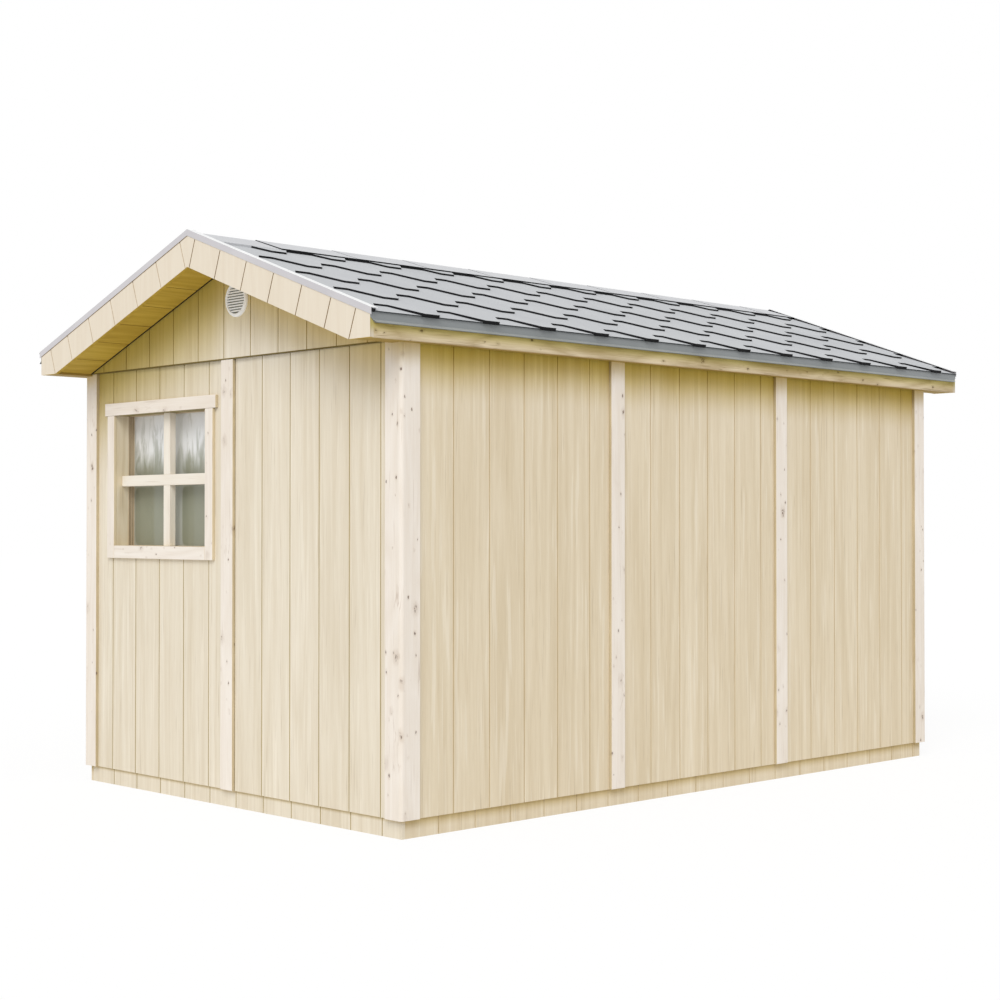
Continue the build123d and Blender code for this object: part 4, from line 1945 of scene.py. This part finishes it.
@dataclass
class RoofEdge:
    """The boxed edge of the roof: barge boards, soffits and eave fascias."""

    palette: Palette
    barge_groove: Groove = Groove()
    barge_lines: tuple[float, ...] = (0.066, 0.266, 0.466, 0.666, 0.866, 1.064, 1.228)
    mouth: float = 0.0046
    mouth_segments: int = 12
    hem: float = 0.0026
    soffit_groove: Groove = Groove(0.0042, 0.002, 0.0025)
    soffit_lines: Spacing = Spacing(0.076, 0.2)
    wall_gap: float = 0.011
    shadow_step: float = 0.0006
    easing: float = 0.003
    level_digits: int = 5
    plan_digits: int = 4

    def build(self) -> None:
        """Build the roof edge on both slopes."""
        for side in Side:
            slope = Slope.measured(side)
            self.barges(slope)
            self.soffit(slope)
            self.fascia(side)

    def barges(self, slope: Slope) -> None:
        """Build the two barge boards of one slope.

        Args:
            slope: The slope.
        """
        palette = self.palette
        near = slope.side is Side.NEAR
        finishes = {
            Coat.FACE: palette.verge_board,
            Coat.GROOVE: palette.verge_groove_shade if near else palette.faint_groove_shade,
            Coat.UNDERSIDE: palette.soffit,
            Coat.SEAM: palette.seam,
            # Under the flashing: painted shadow on the far slope, the board's own colour on the near
            # slope.
            Coat.HEM: palette.verge_board if near else palette.verge_groove_shade,
            Coat.END: palette.verge_end_shade,
        }
        lines = [slope.origin + line for line in self.barge_lines]
        for gable in Gable:
            node = f"{gable.word}_{slope.side.word}_barge_board"
            plane = Plane(slope.down, slope.out, gable.out)
            points = corners(node)
            piece = Piece(f"{node}_grooved", "verge_board", finishes)
            board = Solid.plate(points, plane, lines, self.barge_groove)
            # The barge's underside takes the soffit's golden colour with its painted shade.
            board.paint(Coat.UNDERSIDE, looks(-Z_AXIS, DOWNWARD))
            # The end faces take the painted shade.
            piece.add(board.paint(Coat.END, looks(slope.side.out)))
            face = plane.spans(points)[2].high
            foot = plane.spans(corners(f"{slope.side.word}_rake_flashings"))[1].low
            # A dark dot where each groove runs under the flashing: painted shadow in the gap.
            for line in lines:
                mouth = Solid.rod(
                    plane.space(line, foot, face - self.mouth / 2),
                    plane.out,
                    self.mouth,
                    self.mouth + self.shadow_step,
                    self.mouth_segments,
                )
                piece.add(mouth.paint(Coat.SEAM))
            # A thin strip under the verge flashing: painted shadow, dark on the far slope and in the
            # board's own colour on the near slope.
            along = plane.spans([p for p in points if plane.flat(p).y > foot - self.hem])[0]
            skin = Span(face - self.hem, face + self.shadow_step)
            hem = Solid.slab(plane, along, Span(foot - self.hem, foot), skin)
            piece.add(hem.paint(Coat.HEM))
            piece.done(node)

    def soffit(self, slope: Slope) -> None:
        """Build the grooved verge soffits and the level eave strip of one slope.

        Args:
            slope: The slope.
        """
        node = f"{slope.side.word}_soffits"
        points = corners(node)
        levels = distinct((p.z for p in points), self.level_digits)
        split = (levels[1] + levels[2]) / 2
        plane = Plane(slope.down, X_AXIS, -slope.out)
        finishes = {
            Coat.FACE: self.palette.soffit,
            Coat.GROOVE: self.palette.soffit_groove,
            Coat.SEAM: self.palette.seam,
            Coat.STRIP: self.palette.eave_strip,
        }
        piece = Piece(f"{node}_grooved", "verge_board", finishes)
        for gable in Gable:
            verge = [p for p in points if p.z > split and p.x * gable.value > 0]
            wall = min(abs(p.x) for p in verge)
            at_wall = [p for p in verge if abs(p.x) < wall + TINY]
            # A dark strip filling the gap at the wall: painted shadow.
            strip = [p - plane.out * self.shadow_step for p in at_wall]
            strip += [p + gable.out * self.wall_gap for p in strip]
            piece.add(Solid.plate(strip, plane).paint(Coat.SEAM))
            for point in at_wall:
                point.x += self.wall_gap * gable.value
            across = plane.spans(verge)[0]
            run = Span(across.low - slope.origin, across.high - slope.origin)
            lines = [slope.origin + line for line in self.soffit_lines.lines(run)]
            piece.add(Solid.plate(verge, plane, lines, self.soffit_groove))
        strip = self.eave_strip(slope.side, [p for p in points if p.z < split])
        # The level eave strip takes its golden colour with painted shade.
        piece.add(strip.paint(Coat.STRIP))
        piece.done(node)

    def eave_strip(self, side: Side, points: Sequence[Vector]) -> Solid:
        """Make the level strip under an eave with its returns behind the barge boards.

        Args:
            side: The eave's side.
            points: The strip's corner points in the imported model.

        Returns:
            The closed body.
        """
        x = distinct((abs(p.x) for p in points), self.plan_digits)
        y = distinct((abs(p.y) for p in points), self.plan_digits)
        height = Span.over([p.z for p in points])
        wall, end = x[0], x[-1]
        inner, face, outer = y[0], y[1], y[-1]
        plan = [(end, outer), (end, inner), (wall, inner), (wall, face)]
        plan += [(-a, b) for a, b in reversed(plan)]
        outline = [Vector((a, b * side.value, height.low)) for a, b in plan]
        return Solid.prism(outline, Z_AXIS * height.length)

    def fascia(self, side: Side) -> None:
        """Build the fascia board along one eave.

        Args:
            side: The eave's side.
        """
        node = f"{side.word}_eave_fascia"
        piece = Piece(f"{node}_planed", "fascia_board", {Coat.FACE: self.palette.fascia})
        board = Solid.swept(corners(node), Plane(Y_AXIS, Z_AXIS, X_AXIS))
        piece.add(board.ease(self.easing))
        piece.done(node)


@dataclass
class Roofing:
    """The shingle courses, ridge caps and metal flashings."""

    palette: Palette
    course: float = 0.266
    first_course: float = 0.149
    courses: int = 5
    tab_pitch: float = 1 / 3
    tab_start: float = -1.997
    tab_top: float = 0.075
    tab_fall: float = 0.0975
    tab_foot: float = 0.08
    tab_drop: float = 0.119
    lap: float = 0.030
    crest_gap: float = 0.003
    shingle: float = 0.0092
    eave_shingle: float = 0.0150
    low_lift: float = 0.0005
    high_lift: float = 0.0136
    starter_lift: float = 0.0030
    starter_edge: float = 0.0040
    starter_run: float = 0.374
    cap_reach: float = 0.196
    cap_joints: Spacing = Spacing(-1.722, 0.4365)
    cap_lap: float = 0.060
    cap_crest: float = 0.0085
    cap_edge: float = 0.0165
    cap_thickness: float = 0.0060
    cap_skirt: float = 0.0140
    cap_rise: float = 0.0012
    first_edge_drop: float = 0.0040
    first_crest_drop: float = 0.0022
    eave_metal: float = 0.0018
    verge_metal: float = 0.002
    verge_easing: float = 0.0008
    verge_cover: float = 0.036
    far_overrun: float = 0.006
    lip_fall: float = 0.011
    lip_reach: float = 0.016
    snip_along: float = 0.022
    snip_up: float = 0.021
    face_lean: float = 0.003

    @property
    def verge(self) -> float:
        """Reach of the shingles along the ridge, from its middle."""
        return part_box("near_roofing")[1].x

    def build(self) -> None:
        """Cover both slopes and the ridge."""
        for side in Side:
            slope = Slope.measured(side)
            self.shingles(slope)
            self.flashings(slope)
            self.eave(side)
        self.caps()

    def eave(self, side: Side) -> None:
        """Fold the flashing along one eave, with its lip kicked out at the foot.

        Args:
            side: The eave's side.
        """
        near = side is Side.NEAR
        node = f"{side.word}_eave_flashing"
        low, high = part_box(node)
        back = min(abs(low.y), abs(high.y))
        half = self.eave_metal / 2
        profile = [
            (0.0, high.z),
            (self.eave_metal, high.z),
            (self.face_lean, low.z + self.lip_fall),
            (self.lip_reach, low.z + half),
            (self.lip_reach - half, low.z - half),
            (self.face_lean - self.eave_metal, low.z - half),
        ]
        outline = [Vector((low.x, (back + out) * side.value, z)) for out, z in profile]
        finishes = {
            Coat.FACE: self.palette.eave_metal,
            Coat.LIP: self.palette.eave_lip_highlight,
            # The far eave's ends are near black: painted shade.
            Coat.END: self.palette.eave_metal if near else self.palette.black_edge_and_shadow,
        }
        piece = Piece(f"{node}_folded", "eave_metal", finishes)
        solid = Solid.prism(outline, X_AXIS * (high.x - low.x))
        if near:
            for gable in Gable:
                slant = gable.out * self.snip_up - Z_AXIS * self.snip_along
                start = Vector((gable.value * (high.x - self.snip_along), 0, low.z))
                solid.cut(start, slant.normalized())
        outward, upward = looks(side.out, SLANTING), looks(Z_AXIS, SLANTING)
        # The lip's upward outer face takes a painted highlight.
        solid.paint(Coat.LIP, lambda face: outward(face) and upward(face))
        piece.add(solid.paint(Coat.END, looks_along(X_AXIS)))
        piece.done(node)

    def tab_edge(self, place: float) -> float:
        """Give how far down the slope the shaped edge lies at a place along the ridge.

        Args:
            place: The place along the ridge.

        Returns:
            The run from the edge's upper line.
        """
        share = (place - self.tab_start) % self.tab_pitch
        fall_end = self.tab_top + self.tab_fall
        foot_end = fall_end + self.tab_foot
        if share <= self.tab_top:
            return 0.0
        if share <= fall_end:
            return self.tab_drop * (share - self.tab_top) / self.tab_fall
        if share <= foot_end:
            return self.tab_drop
        return self.tab_drop * (self.tab_pitch - share) / (self.tab_pitch - foot_end)

    def tab_corners(self, span: Span) -> list[float]:
        """Give the places where the shaped edge turns within a stretch.

        Args:
            span: The stretch along the ridge.

        Returns:
            The places in order, with both ends of the stretch.
        """
        fall_end = self.tab_top + self.tab_fall
        turns: list[float] = []
        for part in (0.0, self.tab_top, fall_end, fall_end + self.tab_foot):
            turns.extend(Spacing(self.tab_start + part, self.tab_pitch).lines(span))
        return [span.low, *span.within(sorted(turns), TINY), span.high]

    def strip(
        self,
        slope: Slope,
        start: float,
        edge: Sequence[tuple[float, float]],
        lift: Callable[[float], float],
        thickness: float,
        coat: Coat,
    ) -> Solid:
        """Make one course of roofing.

        Args:
            slope: The slope that it lies on.
            start: Run down the slope of its upper edge.
            edge: Its lower edge as places along the ridge and runs down the slope.
            lift: Height of its face above the slope at a run.
            thickness: Thickness of its edge.
            coat: What the finish of its edges covers.

        Returns:
            The course, with its edges marked.
        """
        upper = [(edge[-1][0], start), (edge[0][0], start)]
        outline = [slope.point(x, run, lift(run) - thickness) for x, run in [*edge, *upper]]
        return Solid.prism(outline, slope.out * thickness).paint(coat, edge_on(slope.out))

    def shingles(self, slope: Slope) -> None:
        """Lay the starter strip and the shaped courses on one slope.

        Args:
            slope: The slope.
        """
        span = Span(-self.verge, self.verge)
        finishes = {
            Coat.FACE: self.palette.shingle,
            Coat.EDGE: self.palette.black_edge_and_shadow,
            Coat.STARTER: self.palette.starter_edge,
        }
        piece = Piece(f"{slope.side.word}_shingles", "roofing", finishes)
        begin = slope.length - self.starter_run
        slant = (self.starter_lift - self.low_lift) / self.starter_run
        starter = self.strip(
            slope,
            begin,
            [(span.low, slope.length), (span.high, slope.length)],
            lambda run: self.low_lift + slant * (run - begin),
            self.starter_edge,
            Coat.STARTER,
        )
        piece.add(starter)
        for number in range(self.courses):
            flat = self.first_course + number * self.course
            top = flat - self.course - self.lap
            steep = (self.high_lift - self.low_lift) / (flat + self.tab_drop - top)
            lowest = number == self.courses - 1
            course = self.strip(
                slope,
                max(top, self.crest_gap),
                [(x, flat + self.tab_edge(x)) for x in self.tab_corners(span)],
                lambda run: self.low_lift + steep * (run - top),
                self.eave_shingle if lowest else self.shingle,
                Coat.EDGE,
            )
            piece.add(course)
        piece.done(f"{slope.side.word}_roofing")

    def caps(self) -> None:
        """Lay the ridge caps, each end over the next one."""
        near, far = (Slope.measured(side) for side in Side)
        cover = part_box("ridge_cap")[1].x
        joints = self.cap_joints.lines(Span(-cover, cover))
        finishes = {Coat.FACE: self.palette.ridge, Coat.EDGE: self.palette.black_edge_and_shadow}
        piece = Piece("ridge_caps", "roofing", finishes)
        for start, end in zip([-cover, *joints], [*joints, cover - self.cap_lap]):
            first = start <= -cover
            covered = end if first else end + self.cap_lap
            edge = self.cap_edge - (self.first_edge_drop if first else 0.0)
            crest = near.crest + self.cap_crest - (self.first_crest_drop if first else 0.0)
            outline = [
                near.point(covered, self.cap_reach, edge),
                Vector((covered, 0, crest)),
                far.point(covered, self.cap_reach, edge),
                far.point(covered, self.cap_reach, edge - self.cap_skirt),
                Vector((covered, 0, crest - self.cap_thickness)),
                near.point(covered, self.cap_reach, edge - self.cap_skirt),
            ]
            rise = 0.0 if first else self.cap_rise
            solid = Solid.prism(outline, Vector((start - covered, 0, rise)))
            # The later caps' ends and edges are near black: their felt edge and painted shadow at
            # each joint.
            if not first:
                solid.paint(Coat.EDGE, edge_on(Z_AXIS))
            piece.add(solid)
        piece.done("ridge_cap")

    def flashings(self, slope: Slope) -> None:
        """Fold the verge flashings over both ends of one slope.

        Args:
            slope: The slope.
        """
        side = slope.side
        node = f"{side.word}_rake_flashings"
        points = corners(node)
        reach = max(abs(p.y) for p in points)
        if side is Side.FAR:
            reach += self.far_overrun
        face = max(abs(p.x) for p in points)
        inner = face - self.verge_cover
        bottom = min((p - slope.point(p.x, 0, 0)).dot(slope.out) for p in points)
        top = self.high_lift + self.verge_metal
        over = 2 * (top - bottom)
        finishes = {
            Coat.FACE: self.palette.verge_metal,
            Coat.FOLD: self.palette.verge_shade,
            Coat.TOP: self.palette.verge_top_highlight,
        }
        piece = Piece(f"{side.word}_verge_flashings", "verge_metal", finishes)
        profile = [
            (face, bottom),
            (face, top),
            (inner, top),
            (inner, self.high_lift),
            (self.verge, self.high_lift),
            (self.verge, bottom),
        ]
        for gable in Gable:
            outline = [slope.point(x * gable.value, -over, lift) for x, lift in profile]
            solid = Solid.prism(outline, slope.down * (slope.length + 2 * over))
            solid.cut(Vector((0, 0, 0)), -side.out)
            solid.cut(side.out * reach, side.out)
            solid.ease(self.verge_easing)
            # The flashing's underside takes painted shade.
            solid.paint(Coat.FOLD, looks(-slope.out))
            # The flashing's upward faces take a painted highlight.
            piece.add(solid.paint(Coat.TOP, looks(slope.out, SLANTING)))
        piece.done(node)


@dataclass
class Carcass:
    """The timber frame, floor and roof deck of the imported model, which only get their finishes."""

    palette: Palette
    uprights: tuple[str, ...] = (
        "near_side_frame",
        "far_side_frame",
        "window_gable_frame",
        "far_gable_frame",
    )
    rafters: tuple[str, ...] = ("near_rafters", "far_rafters")
    decks: tuple[str, ...] = (
        "floor_bearers",
        "ridge_board",
        "floor_deck",
        "near_roof_deck",
        "far_roof_deck",
    )

    def build(self) -> None:
        """Finish the frame, floor and deck."""
        for nodes, finish in (
            (self.uprights, self.palette.framing),
            (self.rafters, self.palette.rafter),
            (self.decks, self.palette.decking),
        ):
            for node in nodes:
                dress(node, finish)


@dataclass
class Studio:
    """Floor, soft light and the camera at the photograph's angle."""

    eye: Triple = (-6.510, -6.510, 1.249)
    yaw: float = math.radians(45.848)
    rise: float = math.radians(0.801)
    focal_share: float = 1.7818
    sensor: float = 36.0
    floor_size: float = 60.0
    floor_grey: Colour = (0.8, 0.8, 0.8, 1.0)
    shadow_share: float = 0.15
    sky_strength: float = 0.69
    key_strength: float = 1.55
    key_spread: float = math.radians(35)
    key_from: Triple = (-0.68, -0.49, 0.74)

    def build(self) -> None:
        """Set up the floor, light and camera."""
        self.floor()
        self.sky()
        self.key()
        self.camera()

    def shown_white(self, graph: Graph) -> Socket:
        """Tell the rays that show the background from those that light the shed.

        Args:
            graph: The graph under construction.

        Returns:
            1 for camera, glossy and transmission rays, and 0 for the others.
        """
        path = graph.add("ShaderNodeLightPath").outputs
        shown = graph.math("MAXIMUM", path["Is Camera Ray"], path["Is Glossy Ray"])
        return graph.math("MAXIMUM", shown, path["Is Transmission Ray"])

    def floor(self) -> None:
        """Lay the pale floor, which keeps the shed's shadow."""
        ground = bmesh.new()
        bmesh.ops.create_grid(ground, x_segments=1, y_segments=1, size=self.floor_size)
        floor = stand("studio_floor", ground)
        floor.data.materials.append(bpy.data.materials.new("studio_floor"))
        graph = Graph(floor.data.materials[0])
        white = self.shown_white(graph)
        colour = graph.mixed(white, self.floor_grey, WHITE)
        paint = graph.add("ShaderNodeBsdfDiffuse", {"Color": colour}).outputs[0]
        glow = graph.add("ShaderNodeEmission", {"Color": WHITE, "Strength": 1.0}).outputs[0]
        shown = graph.math("MULTIPLY", white, 1.0 - self.shadow_share)
        graph.finish(graph.layered(shown, paint, glow))

    def sky(self) -> None:
        """Light the scene evenly from all round, before a white background."""
        world = bpy.data.worlds.new("studio_sky")
        bpy.context.scene.world = world
        graph = Graph(world)
        light, white = (
            graph.add("ShaderNodeBackground", {"Color": WHITE, "Strength": strength}).outputs[0]
            for strength in (self.sky_strength, 1.0)
        )
        both = graph.layered(self.shown_white(graph), light, white)
        graph.finish(both, "ShaderNodeOutputWorld")

    def key(self) -> None:
        """Hang the soft key light."""
        light = bpy.data.lights.new("studio_key", "SUN")
        light.energy = self.key_strength
        light.angle = self.key_spread
        lamp = bpy.data.objects.new("studio_key", light)
        lamp.rotation_euler = Vector(self.key_from).to_track_quat("Z", "Y").to_euler()
        bpy.context.scene.collection.objects.link(lamp)

    def camera(self) -> None:
        """Set the camera at the photograph's viewing angle."""
        data = bpy.data.cameras.new("studio_camera")
        data.sensor_fit = "HORIZONTAL"
        data.sensor_width = self.sensor
        data.lens = self.sensor * self.focal_share
        flat = math.cos(self.rise)
        ahead = Vector((flat * math.cos(self.yaw), flat * math.sin(self.yaw), math.sin(self.rise)))
        camera = bpy.data.objects.new("studio_camera", data)
        camera.location = self.eye
        camera.rotation_euler = ahead.to_track_quat("-Z", "Y").to_euler()
        bpy.context.scene.collection.objects.link(camera)
        bpy.context.scene.camera = camera


def main() -> None:
    """Build the shed's looks in order."""
    logging.basicConfig(level=logging.INFO, format="%(name)s: %(message)s")
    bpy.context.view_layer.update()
    bpy.context.scene.view_settings.view_transform = "Standard"
    palette = Palette()
    Studio().build()
    for assembly in (
        Carcass(palette),
        Cladding(palette),
        Trims(palette),
        VentGrille(palette),
        WindowUnit(palette),
        RoofEdge(palette),
        Roofing(palette),
    ):
        assembly.build()
        LOG.info("%s built", type(assembly).__name__)


if __name__ == "__main__":
    main()
